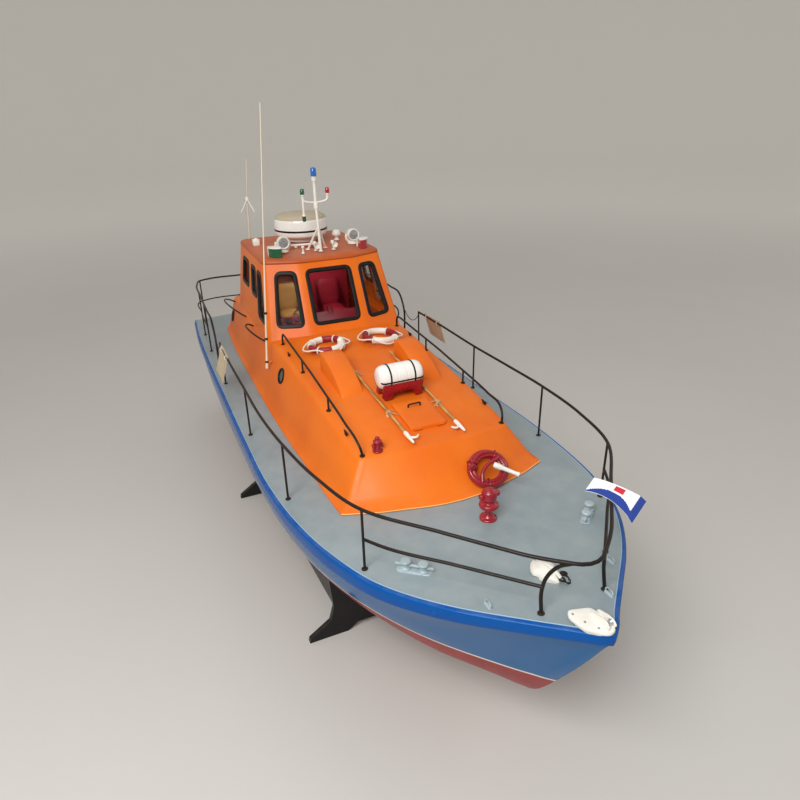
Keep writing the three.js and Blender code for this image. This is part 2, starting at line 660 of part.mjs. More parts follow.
add('hydrant', cut(join([rod(209, -60, onTop(209, -60), onTop(209, -60) + 11, 3, 12),
  rod(209, -60, onTop(209, -60) + 3, onTop(209, -60) + 6, 5, 12)]), [coachAbove]), DARKRED, 0.1, 0.4);

// Roof fittings
const RT = ROOF_TOP + GAP;
add('radar_dome', moved(turned([
  [0, 0], [24, 0], [24, 6], [38, 9], [40, 14], [40.5, 24], [39, 34], [33, 42], [20, 46.5], [0, 48],
], 40), -240, 0, RT), WHITE, 0, 0.4);
const MAST_X = -150;
add('mast', cut(join([
  bar([[MAST_X - 12, 13, RT], [MAST_X, 0, RT + 62]], 1.6, 8),
  bar([[MAST_X - 12, -13, RT], [MAST_X, 0, RT + 62]], 1.6, 8),
  bar([[MAST_X + 8, 0, RT], [MAST_X, 0, RT + 62]], 1.6, 8),
  rod(MAST_X, 0, RT + 58, RT + 98, 2, 12),
  rod(MAST_X, 0, RT + 97, RT + 112, 4, 16),
  bar(smooth([[MAST_X, -18, RT + 76], [MAST_X, -17, RT + 68], [MAST_X, 0, RT + 66], [MAST_X, 17, RT + 68],
    [MAST_X, 18, RT + 76]], 20), 1.5, 8),
  rod(MAST_X, -18, RT + 75, RT + 85, 3, 12),
  rod(MAST_X, 18, RT + 75, RT + 85, 3, 12),
]), [roofAbove]), WHITE, 0.1, 0.4);
function searchlight(x, y) {
  const lamp = clean(new THREE.CylinderGeometry(8, 6.5, 12, 20)).rotateZ(-Math.PI / 2).translate(x, y, RT + 13);
  return cut(join([rod(x, y, RT - 1, RT + 2, 7, 16), rod(x, y, RT + 1, RT + 9, 2.5, 12), lamp]), [roofAbove]);
}
add('searchlight_port', searchlight(-172, 57), WHITE, 0.1, 0.4);
add('searchlight_starboard', searchlight(-166, -47), WHITE, 0.1, 0.4);
both('side_light', cut(block(-164, -144, 66, 78, ROOF_Z + 4.2, ROOF_TOP + 6), [roofAbove]), WHITE, 0, 0.5);

// Aerials
add('whip_aerial', cut(join([
  bar([[-69, -109.5, 228], [-81, -96.4, 348], [-99, -74, 553]], [1.3, 1.1, 0.7], 8),
  bar([[-70, -102, 236], [-70, -108.6, 236]], 2.2, 8),
]), [coachAbove]), WHITE, 0.1, 0.4);
add('ground_plane_aerial', cut(join([
  bar([[-298, -70, 354], [-283, -69, 422], [-263, -67, 480]], [1.4, 1.3, 0.8], 8),
  ...[0, 1, 2, 3].map((k) => {
    const a = (k / 4) * Math.PI * 2 + 0.5;
    return bar([[-283, -69, 422], [-283 + 14 * Math.cos(a), -69 + 14 * Math.sin(a), 404]], 0.8, 6);
  }),
]), [roofAbove]), WHITE, 0.2, 0.4);

// Shafts, propellers and rudders
const tilt = (SHAFT_TILT * Math.PI) / 180;
const along = (d) => [PROP_X + d * Math.cos(tilt), PROP_Y, PROP_Z + d * Math.sin(tilt)];
const shaft = join([
  bar([along(11), along(150)], 4, 16),
  bar([along(11), along(30)], 6.5, 16),
  plate([[PROP_X + 12, 58], [PROP_X + 28, 58], [PROP_X + 34, 100], [PROP_X + 14, 100]], 'xz', PROP_Y - 1.8, PROP_Y + 1.8),
]);
both('shaft', cut(shaft, [below(0.4)]), BRASS, 0.8, 0.3);

function propeller() {
  const hub = turned([[0, -9], [4, -8], [5.5, -4], [6, 8], [0, 8]], 24);
  hub.rotateY(Math.PI / 2);
  const half = [[3, 3], [4.5, 6], [6.5, 10], [7.5, 13.5], [6, 16.2], [2.4, PROP_R]];
  const outline = [...half, ...half.map(([c, r]) => [-c, r]).reverse()];
  const blades = [0, 1, 2, 3].map((k) => plate(outline, 'yz', -0.8, 0.8)
    .rotateZ((BLADE_PITCH * Math.PI) / 180).rotateX((k * Math.PI) / 2));
  return join([hub, ...blades]);
}
const prop = propeller();
prop.rotateY(-tilt);
both('propeller', moved(prop, PROP_X + 2.65, PROP_Y, PROP_Z), BRASS, 0.9, 0.25);

const blade = loft([[RUDDER_X + 13, 2.2], [RUDDER_X + 2, 3.2], [RUDDER_X - 26, 0.9]].map(([x, t]) => [
  [x, PROP_Y - t, 40], [x, PROP_Y + t, 40], [x, PROP_Y + t, 74], [x, PROP_Y - t, 74],
]));
both('rudder', join([blade, rod(RUDDER_X, PROP_Y, 42, 98, 2.4, 20)]), BRASS, 0.6, 0.4);

export default group;
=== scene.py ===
"""Display model of a decked rescue boat on its cradle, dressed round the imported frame.

Numbers are millimetres in the frame's own axes: X towards the bow, Y to port, Z up from the
table. put() turns them into metres. Every new piece is a numpy surface: a grid of points, or a
profile carried along a path or turned about an axis. Most paired pieces are made to port and
mirrored to starboard.
"""
import math

import bmesh
import bpy
import numpy as np
from mathutils import Matrix


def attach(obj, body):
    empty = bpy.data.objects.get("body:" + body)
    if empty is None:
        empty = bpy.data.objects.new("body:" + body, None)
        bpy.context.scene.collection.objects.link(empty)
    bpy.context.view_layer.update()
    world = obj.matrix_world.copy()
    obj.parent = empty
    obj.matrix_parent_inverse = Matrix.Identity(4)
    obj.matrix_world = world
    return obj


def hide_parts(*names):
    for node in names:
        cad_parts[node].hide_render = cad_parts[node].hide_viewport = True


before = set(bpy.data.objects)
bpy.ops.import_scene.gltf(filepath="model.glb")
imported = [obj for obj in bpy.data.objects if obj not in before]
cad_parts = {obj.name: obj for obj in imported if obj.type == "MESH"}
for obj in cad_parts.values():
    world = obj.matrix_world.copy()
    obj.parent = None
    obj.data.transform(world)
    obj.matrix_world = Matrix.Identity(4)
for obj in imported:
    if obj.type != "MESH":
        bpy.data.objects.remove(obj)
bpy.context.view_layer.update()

MM = 0.001
TAU = 2 * math.pi
SIDES = ((1, "port"), (-1, "starboard"))

# Camera: place, heading, pitch and roll in degrees, and the focal length on an 800 px frame
CAMERA_PLACE = (719.0, -254.5, 545.2)
CAMERA_ANGLES = (156.64, 25.33, 1.38)
FOCAL_PX = 620.07
FRAME_PX = 800

# Driving sizes, as in the frame
STERN = -487.1
STEM = 486.0
DECK_CAMBER = 5.0
DECK_TOP = 1.5
STRAKE_DEEP = 14.0
WATERLINE = 117.0
STRIPE = 2.2
COACH_CAMBER = 7.0
COACH_HALF = 95.0
WALL = 3.0
ROOF_Z = 352.0
ROOF_TOP = 361.0
ROOF_ON = ROOF_TOP + 0.3
MAST_X = -150.0
RAFT_X, RAFT_R = 128.0, 14.0
RING_R = 21.2
HELM_FLOOR = 206.0
COACH_RAIL_Y, COACH_RAIL_UP = 84.0, 16
STERN_RAIL_Z, STERN_WIRE_Z = 262.0, 224
PROP_X, PROP_Y, PROP_Z, PROP_R = -372.0, 62.0, 54.0, 18.0
RUDDER_X = -420.0
SHAFT_TILT = math.radians(4)

# Wheelhouse at the height CABIN_BASE, and what each size changes by for each millimetre above it
CABIN_BASE = 257.0
CABIN_FRONT, CABIN_RAKE = -73.0, 0.486
CABIN_HALF, CABIN_LEAN = 99.0, 0.13
CENTRE_HALF, CENTRE_LEAN = 40.0, 0.02
CABIN_AFT, AFT_LEAN = -316.0, 0.06
CANT = 0.36
TAPER = 3.0

# Slack line across each side gate
GATE_FROM = np.array((-205.5, 155.8, 239.0))
GATE_TO = np.array((-150.0, 156.5, 240.5))
GATE_SAG = 14.0
GATE_THICK = 1.4

# Windows. Front and aft panes give (y, z), side panes (x, z)
FRONT_PANES = (
    [(-33, 274), (33, 274), (32, 343), (-32, 343)],
    [(48, 273), (83, 273), (72, 342), (46, 342)],
    [(-83, 273), (-48, 273), (-46, 342), (-72, 342)],
)
SIDE_PANES = (
    [(-156, 275), (-112, 275), (-146, 338), (-172, 338)],
    [(-206, 298), (-170, 298), (-184, 338), (-214, 338)],
    [(-280, 300), (-230, 300), (-234, 338), (-278, 338)],
)
AFT_PANE = [(18, 292), (52, 292), (50, 334), (20, 334)]
PANE_CORNER = 8.0
SEAL_WIDE = 5.8
SEAL_OVER = 1.9
SEAL_PROUD = 1.0

# Hull stations: x, deckY, deckZ, sideY, sideZ, bilgeY, bilgeZ, keelZ
HULL = np.array([
    (-487.1, 156, 181, 150, 117, 128, 94, 84),
    (-400, 161.5, 180.5, 157, 117, 134, 86, 75),
    (-250, 165, 180.5, 161, 117, 137, 76, 62),
    (-100, 165.5, 181, 161, 117, 136, 73, 57),
    (50, 165.5, 182, 158, 117, 130, 73, 55),
    (150, 164, 184.5, 150, 117, 118, 73, 54),
    (230, 156, 188, 134, 117, 98, 74, 54),
    (300, 141, 193, 107, 118, 72, 76, 56),
    (360, 117, 197.5, 72, 122, 43, 82, 62),
    (410, 79, 203, 37, 138, 19, 103, 78),
    (445, 43, 207.5, 19, 169, 9, 149, 130),
    (470, 17, 211.5, 9, 197, 4.5, 186, 174),
    (480, 7.5, 213.5, 5, 206, 3, 200, 193),
    (486, 0, 214.5, 0, 211, 0, 208, 204),
])

# Coachroof outline, stern to bow: footX, footY, topX, topY, topZ
COACH = np.array([
    (-402, 108, -392, 92, 244),
    (-300, 113, -300, 97, 254),
    (-150, 116, -150, 98, 257),
    (-60, 117, -60, 94, 256),
    (60, 116, 60, 90, 249),
    (160, 113, 160, 88, 240),
    (222, 112, 206, 86, 234),
    (238, 111.4, 216.5, 84.6, 232.6),
    (243, 110.8, 220, 83.6, 232.3),
    (245.6, 107.6, 221.8, 80.6, 232.1),
    (248.2, 101.5, 222.8, 76.5, 232),
    (256, 85, 225, 66, 231.5),
    (266, 54, 230, 41, 231),
    (275, 20, 232.5, 16, 231),
    (276.5, 0, 233, 0, 231),
])

# Guard rail's top, stern to bow
RAIL_TOP = [
    (-150, 157, 246), (-79, 158, 246), (27, 157, 246), (110, 156.5, 248), (190, 152, 252),
    (270, 141, 255.5), (330, 124, 257), (386, 80, 258), (420, 51, 258), (437, 36, 258),
    (452, 19, 258), (460, 8, 258), (462, 0, 258),
]


# Surfaces. A part is (points, faces, material number of each face)
def hermite(keys, values, at):
    """Cubic through a table: on each step h00*a + h10*m + h01*b + h11*n, where the slopes m and n
    are the neighbouring steps' slopes, each weighted by the other step's length."""
    keys, values, at = (np.asarray(v, float) for v in (keys, values, at))
    step = np.diff(keys)[:, None]
    slope = np.diff(values, axis=0) / step
    inner = (slope[:-1] * step[1:] + slope[1:] * step[:-1]) / (step[:-1] + step[1:])
    tangent = np.vstack([slope[:1], inner, slope[-1:]])
    i = np.clip(np.searchsorted(keys, at, side="right") - 1, 0, len(keys) - 2)
    t = ((at - keys[i]) / step[i, 0])[:, None]
    return ((2 * t**3 - 3 * t**2 + 1) * values[i] + (t**3 - 2 * t**2 + t) * step[i] * tangent[i]
            + (3 * t**2 - 2 * t**3) * values[i + 1] + (t**3 - t**2) * step[i] * tangent[i + 1])


def lengths(path):
    """Length of a path up to each of its points."""
    return np.r_[0, np.cumsum(np.linalg.norm(np.diff(path, axis=0), axis=1))]


def smooth_path(points, count):
    """Curve through points: hermite() over the distance along them, read at count even steps."""
    d = lengths(points)
    return hermite(d, points, np.linspace(0, d[-1], count))


def even_path(points, count):
    """The same broken line, read at count even steps of its length."""
    d = lengths(points)
    at = np.linspace(0, d[-1], count)
    return np.stack([np.interp(at, d, axis) for axis in np.asarray(points, float).T], -1)


def unit(v):
    """Vectors divided by their lengths."""
    return v / np.maximum(np.linalg.norm(v, axis=-1, keepdims=True), 1e-9)


def circle(count):
    """Even angles of one turn."""
    return np.arange(count) / count * TAU


def path_axes(path, closed=False, up=None):
    """Two unit vectors across the path at each point. With up, the first is up made square to the
    path. Without it, the first is carried from point to point with the least turn."""
    if closed:
        along = unit(np.roll(path, -1, 0) - np.roll(path, 1, 0))
    else:
        along = unit(np.gradient(path, axis=0))
    if up is not None:
        up = np.broadcast_to(np.asarray(up, float), path.shape)
        first = unit(up - (up * along).sum(-1, keepdims=True) * along)
        return first, np.cross(along, first)
    ref = np.eye(3)[np.argmin(np.abs(along[0]))]
    first = np.zeros_like(path)
    first[0] = unit(ref - ref @ along[0] * along[0])
    for i in range(1, len(path)):
        first[i] = unit(first[i - 1] - first[i - 1] @ along[i] * along[i])
    if closed:
        last = first[-1] - first[-1] @ along[0] * along[0]
        twist = math.atan2(np.cross(last, first[0]) @ along[0], last @ first[0])
        a = (twist * np.arange(len(path)) / len(path))[:, None]
        first = first * np.cos(a) + np.cross(along, first) * np.sin(a)
    return first, np.cross(along, first)


def quads(m, n, wrap_m=False, wrap_n=False):
    """Faces of an m by n grid of points, joined end to end either way if asked."""
    i = np.arange(m if wrap_m else m - 1)[:, None]
    j = np.arange(n if wrap_n else n - 1)[None, :]
    i2, j2 = (i + 1) % m, (j + 1) % n
    corners = (i * n + j, i2 * n + j, i2 * n + j2, i * n + j2)
    return np.stack(np.broadcast_arrays(*corners), -1).reshape(-1, 4)


def grid(points, wrap_m=False, wrap_n=False, cap=False, mat=0):
    """A grid of points as a part. cap closes both ends of a grid whose rows are rings, or its
    first end only where cap is "start"."""
    m, n = points.shape[:2]
    faces = quads(m, n, wrap_m, wrap_n).tolist()
    if cap:
        faces.append(list(range(n)))
    if cap is True:
        faces.append(list(range((m - 1) * n, m * n)))
    return points.reshape(-1, 3), faces, np.full(len(faces), mat) if np.isscalar(mat) else mat


def loft(rings, cap=True, mat=0):
    """Skin over closed rings of points."""
    return grid(np.array(rings), wrap_n=True, cap=cap, mat=mat)


def ring(radius, sides, squash=1.0):
    """Circle profile: radius * (cos a, squash * sin a)."""
    a = circle(sides)
    return np.stack([radius * np.cos(a), radius * squash * np.sin(a)], -1)


def sweep(path, profile, closed=False, up=None, scale=1.0, mat=0):
    """Profile carried along a path: P + scale * (u * first axis + v * second axis). The profile
    is one for the whole path or one for each point."""
    path = np.asarray(path, float)
    first, second = path_axes(path, closed, up)
    k = np.broadcast_to(np.asarray(scale, float), len(path))[:, None, None]
    u, v = np.moveaxis(profile, -1, 0)[..., None]
    points = path[:, None] + k * (u * first[:, None] + v * second[:, None])
    return grid(points, wrap_m=closed, wrap_n=True, cap=not closed, mat=mat)


def tube(path, radius, sides=12, closed=False, mat=0):
    """Round section along a path. radius is one number or one for each point."""
    return sweep(path, ring(1, sides), closed, scale=radius, mat=mat)


def rope(path, radius, strands, pitch, sides, closed=False, mat=0):
    """Laid rope: radius * (0.9 + 0.12 * cos(strands * a - 2 pi * length / pitch)) round a path."""
    length = lengths(path)[:, None]
    if closed:
        total = length[-1, 0] + np.linalg.norm(path[0] - path[-1])
        pitch = total / max(1, round(total / pitch))
    a = circle(sides)[None, :]
    r = radius * (0.9 + 0.12 * np.cos(strands * a - TAU * length / pitch))
    return sweep(path, np.stack([r * np.cos(a), r * np.sin(a)], -1), closed, mat=mat)


def arcs(before, corners, after, radius, steps, most):
    """Each corner as a quadratic that starts and ends radius away from it on its two sides, or at
    most that share of them."""
    t = np.linspace(0, 1, steps + 1)[:, None]
    rows = []
    for a, b, c in zip(before, corners, after):
        cut = min(radius, most * np.linalg.norm(a - b), most * np.linalg.norm(c - b))
        start, end = b + unit(a - b) * cut, b + unit(c - b) * cut
        rows.append((1 - t) ** 2 * start + 2 * t * (1 - t) * b + t**2 * end)
    return np.vstack(rows)


def softened(profile, steps, radius):
    """A broken line with its inner corners made arcs."""
    p = np.asarray(profile, float)
    return np.vstack([p[:1], arcs(p[:-2], p[1:-1], p[2:], radius, steps, 0.45), p[-1:]])


def rounded(outline, radius, steps=5):
    """Closed flat outline with its corners made arcs."""
    p = np.asarray(outline, float)
    return arcs(np.roll(p, 1, 0), p, np.roll(p, -1, 0), radius, steps, 0.48)


def inset_outline(outline, distance):
    """Closed flat outline moved inwards: each point goes along the inward normal."""
    p = np.asarray(outline, float)
    along = unit(np.roll(p, -1, 0) - np.roll(p, 1, 0))
    area = (p[:, 0] * np.roll(p[:, 1], -1) - np.roll(p[:, 0], -1) * p[:, 1]).sum()
    return p + np.stack([-along[:, 1], along[:, 0]], -1) * distance * np.sign(area)


def lifted(flat, z):
    """Flat points given a height."""
    return np.column_stack([flat, np.broadcast_to(z, len(flat))])


AXES = {"x": (1, 2, 0), "y": (2, 0, 1), "z": (0, 1, 2)}


def turned(profile, place=(0, 0, 0), axis="z", sides=20, mat=0, soft=None):
    """Profile of (radius, height) turned about an axis: (r cos a, r sin a, h). mat may name a
    material for each step of the profile. soft gives the steps and radius of its corners."""
    profile = softened(profile, *soft) if soft else np.asarray(profile, float)
    a = circle(sides)
    points = np.empty((len(profile), sides, 3))
    u, v, w = AXES[axis]
    points[..., u] = profile[:, :1] * np.cos(a)
    points[..., v] = profile[:, :1] * np.sin(a)
    points[..., w] = profile[:, 1:2]
    mats = mat if np.isscalar(mat) else np.repeat(mat, sides)
    return grid(points + np.asarray(place, float), wrap_n=True, mat=mats)


def prism(outline, plane, low, high, mat=0, soft=0.0):
    """Flat outline given a thickness from low to high along the axis across its plane. soft draws
    the end rings in, which rounds the rims."""
    rims = [(soft, 0), (0.3 * soft, 0.3 * soft), (0, soft)] if soft else [(0, 0)]
    rings = [(inset, low + rise) for inset, rise in rims]
    rings += [(inset, high - rise) for inset, rise in rims[::-1]]
    order = {"xy": [0, 1, 2], "xz": [0, 2, 1], "yz": [1, 2, 0]}[plane]
    points = [lifted(inset_outline(outline, inset), level) for inset, level in rings]
    return loft(np.array(points)[..., np.argsort(order)], mat=mat)


def block(x, y, z, soft=0.6, corner=1.5, mat=0):
    """Block between two limits on each axis, its upright edges rounded by corner and its rims by
    soft."""
    outline = [(x[0], y[0]), (x[1], y[0]), (x[1], y[1]), (x[0], y[1])]
    return prism(rounded(outline, corner, 4), "xy", *z, mat, soft)


def shifted(part, offset):
    """The part moved by an offset."""
    return part[0] + np.asarray(offset, float), part[1], part[2]


def rotated(part, axis, angle, about=(0, 0, 0)):
    """Part turned by an angle in radians about an axis through a point."""
    r = np.array(Matrix.Rotation(angle, 3, axis.upper()))
    return (part[0] - about) @ r.T + about, part[1], part[2]


def posed(part, place, x_axis, z_axis):
    """Part given in its own axes, put at place with its x and z axes along the two directions."""
    z = unit(np.asarray(z_axis, float))
    x = unit(np.asarray(x_axis, float) - np.asarray(x_axis, float) @ z * z)
    return part[0] @ np.stack([x, np.cross(z, x), z]) + place, part[1], part[2]


def sided(part, side):
    """The part, or to starboard its mirror image: y becomes -y, each face listed the other way."""
    if side > 0:
        return part
    return part[0] * (1, -1, 1), [list(f)[::-1] for f in part[1]], part[2]


def shade(mesh, sharp):
    """Smooth shading that stays hard at edges past the sharp angle."""
    mesh.shade_smooth()
    mesh.set_sharp_from_angle(angle=math.radians(sharp))


def put(name, parts, materials, replaces="", slot="", sharp=38, body="boat", solid=False):
    """One object from parts, its points in millimetres made metres. Doubles are merged, faces
    turned outwards and shaded smooth up to the sharp angle. A solid is a cutter or the stage."""
    parts = [parts] if isinstance(parts, tuple) else parts
    start = np.cumsum([0] + [len(p[0]) for p in parts]).tolist()
    points = np.vstack([p[0] for p in parts]) * MM
    mesh = bpy.data.meshes.new(name)
    mesh.from_pydata(points.tolist(), [], [[i + s for i in f] for p, s in zip(parts, start) for f in p[1]])
    for finish in materials if isinstance(materials, list) else [materials]:
        mesh.materials.append(finish)
    mats = np.concatenate([np.broadcast_to(p[2], len(p[1])) for p in parts])
    mesh.polygons.foreach_set("material_index", mats.astype(int))
    work = bmesh.new()
    work.from_mesh(mesh)
    bmesh.ops.remove_doubles(work, verts=work.verts, dist=2e-6)
    bmesh.ops.dissolve_degenerate(work, edges=work.edges, dist=1e-6)
    bmesh.ops.recalc_face_normals(work, faces=work.faces)
    work.to_mesh(mesh)
    work.free()
    shade(mesh, sharp)
    obj = bpy.data.objects.new(name, mesh)
    bpy.context.scene.collection.objects.link(obj)
    if not solid:
        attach(obj, body)
        if replaces:
            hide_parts(replaces)
    return obj


def put_pair(name, parts, materials, replaces="", body="boat", **rest):
    """The piece to port and its mirror image to starboard. {} in a name stands for the side."""
    for side, word in SIDES:
        put(name.format(word), [sided(p, side) for p in parts], materials, replaces.format(word),
            body=body.format(word), **rest)


def carve(obj, solids, sharp):
    """Solids taken out of obj by exact Boolean modifiers, which are applied."""
    cutters = [put("cutter", solid, obj.data.materials[0], solid=True) for solid in solids]
    for cutter in cutters:
        mod = obj.modifiers.new("cut", "BOOLEAN")
        mod.operation, mod.solver, mod.object = "DIFFERENCE", "EXACT", cutter
    graph = bpy.context.evaluated_depsgraph_get()
    mesh = bpy.data.meshes.new_from_object(obj.evaluated_get(graph))
    obj.modifiers.clear()
    obj.data = mesh
    shade(mesh, sharp)
    for cutter in cutters:
        bpy.data.objects.remove(cutter)


# Readings of the hull, deck, coachroof and wheelhouse
def station(x):
    """Hull columns at x, never below zero."""
    return np.maximum(hermite(HULL[:, 0], HULL[:, 1:], np.atleast_1d(x)), 0).T


def crown(x, y):
    """Deck height: deckZ + camber * min(1, half / 165) * (1 - (y / half)^2)."""
    deck_y, deck_z = station(x)[:2]
    half = np.maximum(deck_y, 0.01)
    return deck_z + DECK_CAMBER * np.minimum(1, half / 165) * (1 - np.minimum(1, (np.asarray(y) / half) ** 2))


def on_deck(x, y):
    """Height on which deck gear stands."""
    return float(crown(x, y)[0]) + DECK_TOP + 0.2


def coach_top(x, y):
    """Coachroof height: its top edge at x plus camber * (1 - (y / half)^2)."""
    return np.interp(x, COACH[:, 2], COACH[:, 4]) + COACH_CAMBER * (1 - (np.asarray(y) / COACH_HALF) ** 2)


def on_top(x, y):
    """Height on which coachroof gear stands."""
    return float(coach_top(x, y)) + 0.2


def coach_side(x, z):
    """Coachroof side: y between its foot and its top edge at height z."""
    foot_y, top_y, top_z = (np.interp(x, COACH[:, c], COACH[:, d]) for c, d in ((0, 1), (2, 3), (2, 4)))
    foot_z = crown(x, foot_y)[0] + DECK_TOP
    return foot_y + (top_y - foot_y) * (z - foot_z) / (top_z - foot_z)


def cabin_lines(z, inset=0.0):
    """Wheelhouse at height z, moved in by inset: x of its front, its half width, its middle pane's
    half width, x of its canted corner and x of its aft wall, each a straight line in z."""
    rise = np.asarray(z, float) - CABIN_BASE
    front = CABIN_FRONT - CABIN_RAKE * rise - inset * 1.12
    half = CABIN_HALF - CABIN_LEAN * rise - inset
    centre = CENTRE_HALF - CENTRE_LEAN * rise - inset * 0.2
    return front, half, centre, front - CANT * (half - centre), CABIN_AFT + AFT_LEAN * rise + inset


def cabin(z, inset=0.0):
    """Outline of the wheelhouse: raked front, canted corners, sides that narrow aft, aft wall."""
    front, half, centre, corner, aft = cabin_lines(z, inset)
    return np.array([(front, centre), (corner, half), (aft, half - TAPER),
                     (aft, TAPER - half), (corner, -half), (front, -centre)])


def cabin_ring(z, inset, corner):
    """Wheelhouse outline at height z, moved in, its corners made arcs."""
    return lifted(rounded(cabin(z, inset), corner, 6), z)


def front_wall(flat, out=0.0):
    """Point on the front at (y, z): x falls back by CANT of the width past the middle pane."""
    y, z = np.asarray(flat, float).T
    front, _, centre, _, _ = cabin_lines(z)
    return np.stack([front - CANT * np.maximum(0, np.abs(y) - centre) + out * 0.87, y, z + out * 0.42], -1)


def side_wall(flat, out=0.0):
    """Point on the port side at (x, z): y narrows with the height and by TAPER towards the stern."""
    x, z = np.asarray(flat, float).T
    _, half, _, corner, aft = cabin_lines(z)
    return np.stack([x, half - TAPER * (corner - x) / (corner - aft) + out, z + out * CABIN_LEAN], -1)


def aft_wall(flat, out=0.0):
    """Point on the aft wall at (y, z)."""
    y, z = np.asarray(flat, float).T
    return np.stack([cabin_lines(z)[-1] - out, y, z], -1)


def make_camera():
    """Camera from heading, pitch and roll: right and down are turned about the view line."""
    h, p, r = np.radians(CAMERA_ANGLES)
    view = np.array([math.cos(p) * math.cos(h), math.cos(p) * math.sin(h), -math.sin(p)])
    level = np.array([math.sin(h), -math.cos(h), 0])
    below = np.cross(view, level)
    right, down = math.cos(r) * level + math.sin(r) * below, math.cos(r) * below - math.sin(r) * level
    data = bpy.data.cameras.new("camera")
    data.sensor_width = 36
    data.lens = FOCAL_PX / FRAME_PX * data.sensor_width
    data.clip_start, data.clip_end = 0.01, 50
    cam = bpy.data.objects.new("camera", data)
    axes = np.column_stack([right, -down, -view])
    cam.matrix_world = Matrix.Translation(np.array(CAMERA_PLACE) * MM) @ Matrix(axes.tolist()).to_4x4()
    bpy.context.scene.collection.objects.link(cam)
    bpy.context.scene.camera = cam


make_camera()


# Materials
def rgb(red, green, blue):
    """Screen colour 0-255 as linear light, with alpha."""
    c = np.array([red, green, blue]) / 255
    line = np.where(c <= 0.04045, c / 12.92, ((c + 0.055) / 1.055) ** 2.4)
    return (*line.tolist(), 1.0)


def darker(colour, share):
    """Colour times share."""
    return tuple(c * share for c in colour[:3]) + (1.0,)


def feed(tree, socket, value):
    """A socket given a value, or joined to another node's output."""
    if isinstance(value, bpy.types.NodeSocket):
        tree.links.new(value, socket)
    else:
        socket.default_value = value


def add_node(tree, kind, inputs=(), **settings):
    """Shader node, its settings set and its inputs fed."""
    node = tree.nodes.new("ShaderNode" + kind)
    for key, value in settings.items():
        setattr(node, key, value)
    for key, value in dict(inputs).items():
        feed(tree, node.inputs[key], value)
    return node


def new_group(name, inputs, outputs):
    """Empty shader group. A socket of 4, 3 or 1 numbers is a colour, a vector or a float."""
    tree = bpy.data.node_groups.new(name, "ShaderNodeTree")
    kinds = {1: "Float", 3: "Vector", 4: "Color"}
    for label, value in inputs.items():
        kind = "NodeSocket" + kinds[np.size(value)]
        tree.interface.new_socket(label, in_out="INPUT", socket_type=kind).default_value = value
    for label, size in outputs.items():
        tree.interface.new_socket(label, in_out="OUTPUT", socket_type="NodeSocket" + kinds[size])
    return tree, tree.nodes.new("NodeGroupInput").outputs, tree.nodes.new("NodeGroupOutput").inputs


def noise(tree, vector, scale, detail, rough=0.55):
    """Noise read at a vector."""
    return add_node(tree, "TexNoise", {"Vector": vector, "Scale": scale, "Detail": detail,
                                       "Roughness": rough}).outputs["Fac"]


def span(tree, value, low, high, to_low=0.0, to_high=1.0):
    """Value taken smoothly from low..high to to_low..to_high."""
    return add_node(tree, "MapRange", {"Value": value, "From Min": low, "From Max": high, "To Min": to_low,
                                       "To Max": to_high}, interpolation_type="SMOOTHSTEP").outputs["Result"]


def blend_colour(tree, mask, first, second):
    """first * (1 - mask) + second * mask."""
    return add_node(tree, "Mix", {0: mask, 6: first, 7: second}, data_type="RGBA").outputs[2]


def calc(tree, how, a, b):
    """a and b joined by the sum that how names."""
    return add_node(tree, "Math", {0: a, 1: b}, operation=how).outputs[0]


def height_of(tree, vector):
    """Z of a vector."""
    return add_node(tree, "SeparateXYZ", {"Vector": vector}).outputs["Z"]


BLACK, PURE_WHITE, ORIGIN = (0, 0, 0, 1), (1, 1, 1, 1), (0, 0, 0)


def film_group():
    """Sprayed or moulded surface: cloudy shade in the colour, uneven gloss and a fine grain."""
    tree, i, o = new_group("surface_film", {
        "Vector": ORIGIN, "Colour": PURE_WHITE, "Shade": BLACK, "Amount": 0.3, "Cloud Scale": 20.0,
        "Roughness": 0.4, "Spread": 0.1, "Grain Scale": 900.0}, {"Colour": 4, "Roughness": 1, "Height": 1})
    cloud = span(tree, noise(tree, i["Vector"], i["Cloud Scale"], 4), 0.35, 0.7)
    mask = calc(tree, "MULTIPLY", cloud, i["Amount"])
    feed(tree, o["Colour"], blend_colour(tree, mask, i["Colour"], i["Shade"]))
    fine = noise(tree, i["Vector"], calc(tree, "MULTIPLY", i["Cloud Scale"], 7.0), 3)
    swing = calc(tree, "MULTIPLY", calc(tree, "SUBTRACT", fine, 0.5), i["Spread"])
    feed(tree, o["Roughness"], calc(tree, "ADD", i["Roughness"], swing))
    feed(tree, o["Height"], noise(tree, i["Vector"], i["Grain Scale"], 2))
    return tree


def dust_group():
    """Dust on what faces up: the upward part of the normal, broken by noise."""
    tree, i, o = new_group("settled_dust", {
        "Vector": ORIGIN, "Colour": PURE_WHITE, "Dust": (0.6, 0.57, 0.5, 1), "Amount": 0.1, "Scale": 60.0},
        {"Colour": 4, "Mask": 1})
    up = height_of(tree, add_node(tree, "NewGeometry").outputs["Normal"])
    patches = span(tree, noise(tree, i["Vector"], i["Scale"], 5), 0.3, 0.75)
    mask = calc(tree, "MULTIPLY", calc(tree, "MULTIPLY", span(tree, up, 0.55, 1.0), patches), i["Amount"])
    feed(tree, o["Mask"], mask)
    feed(tree, o["Colour"], blend_colour(tree, mask, i["Colour"], i["Dust"]))
    return tree


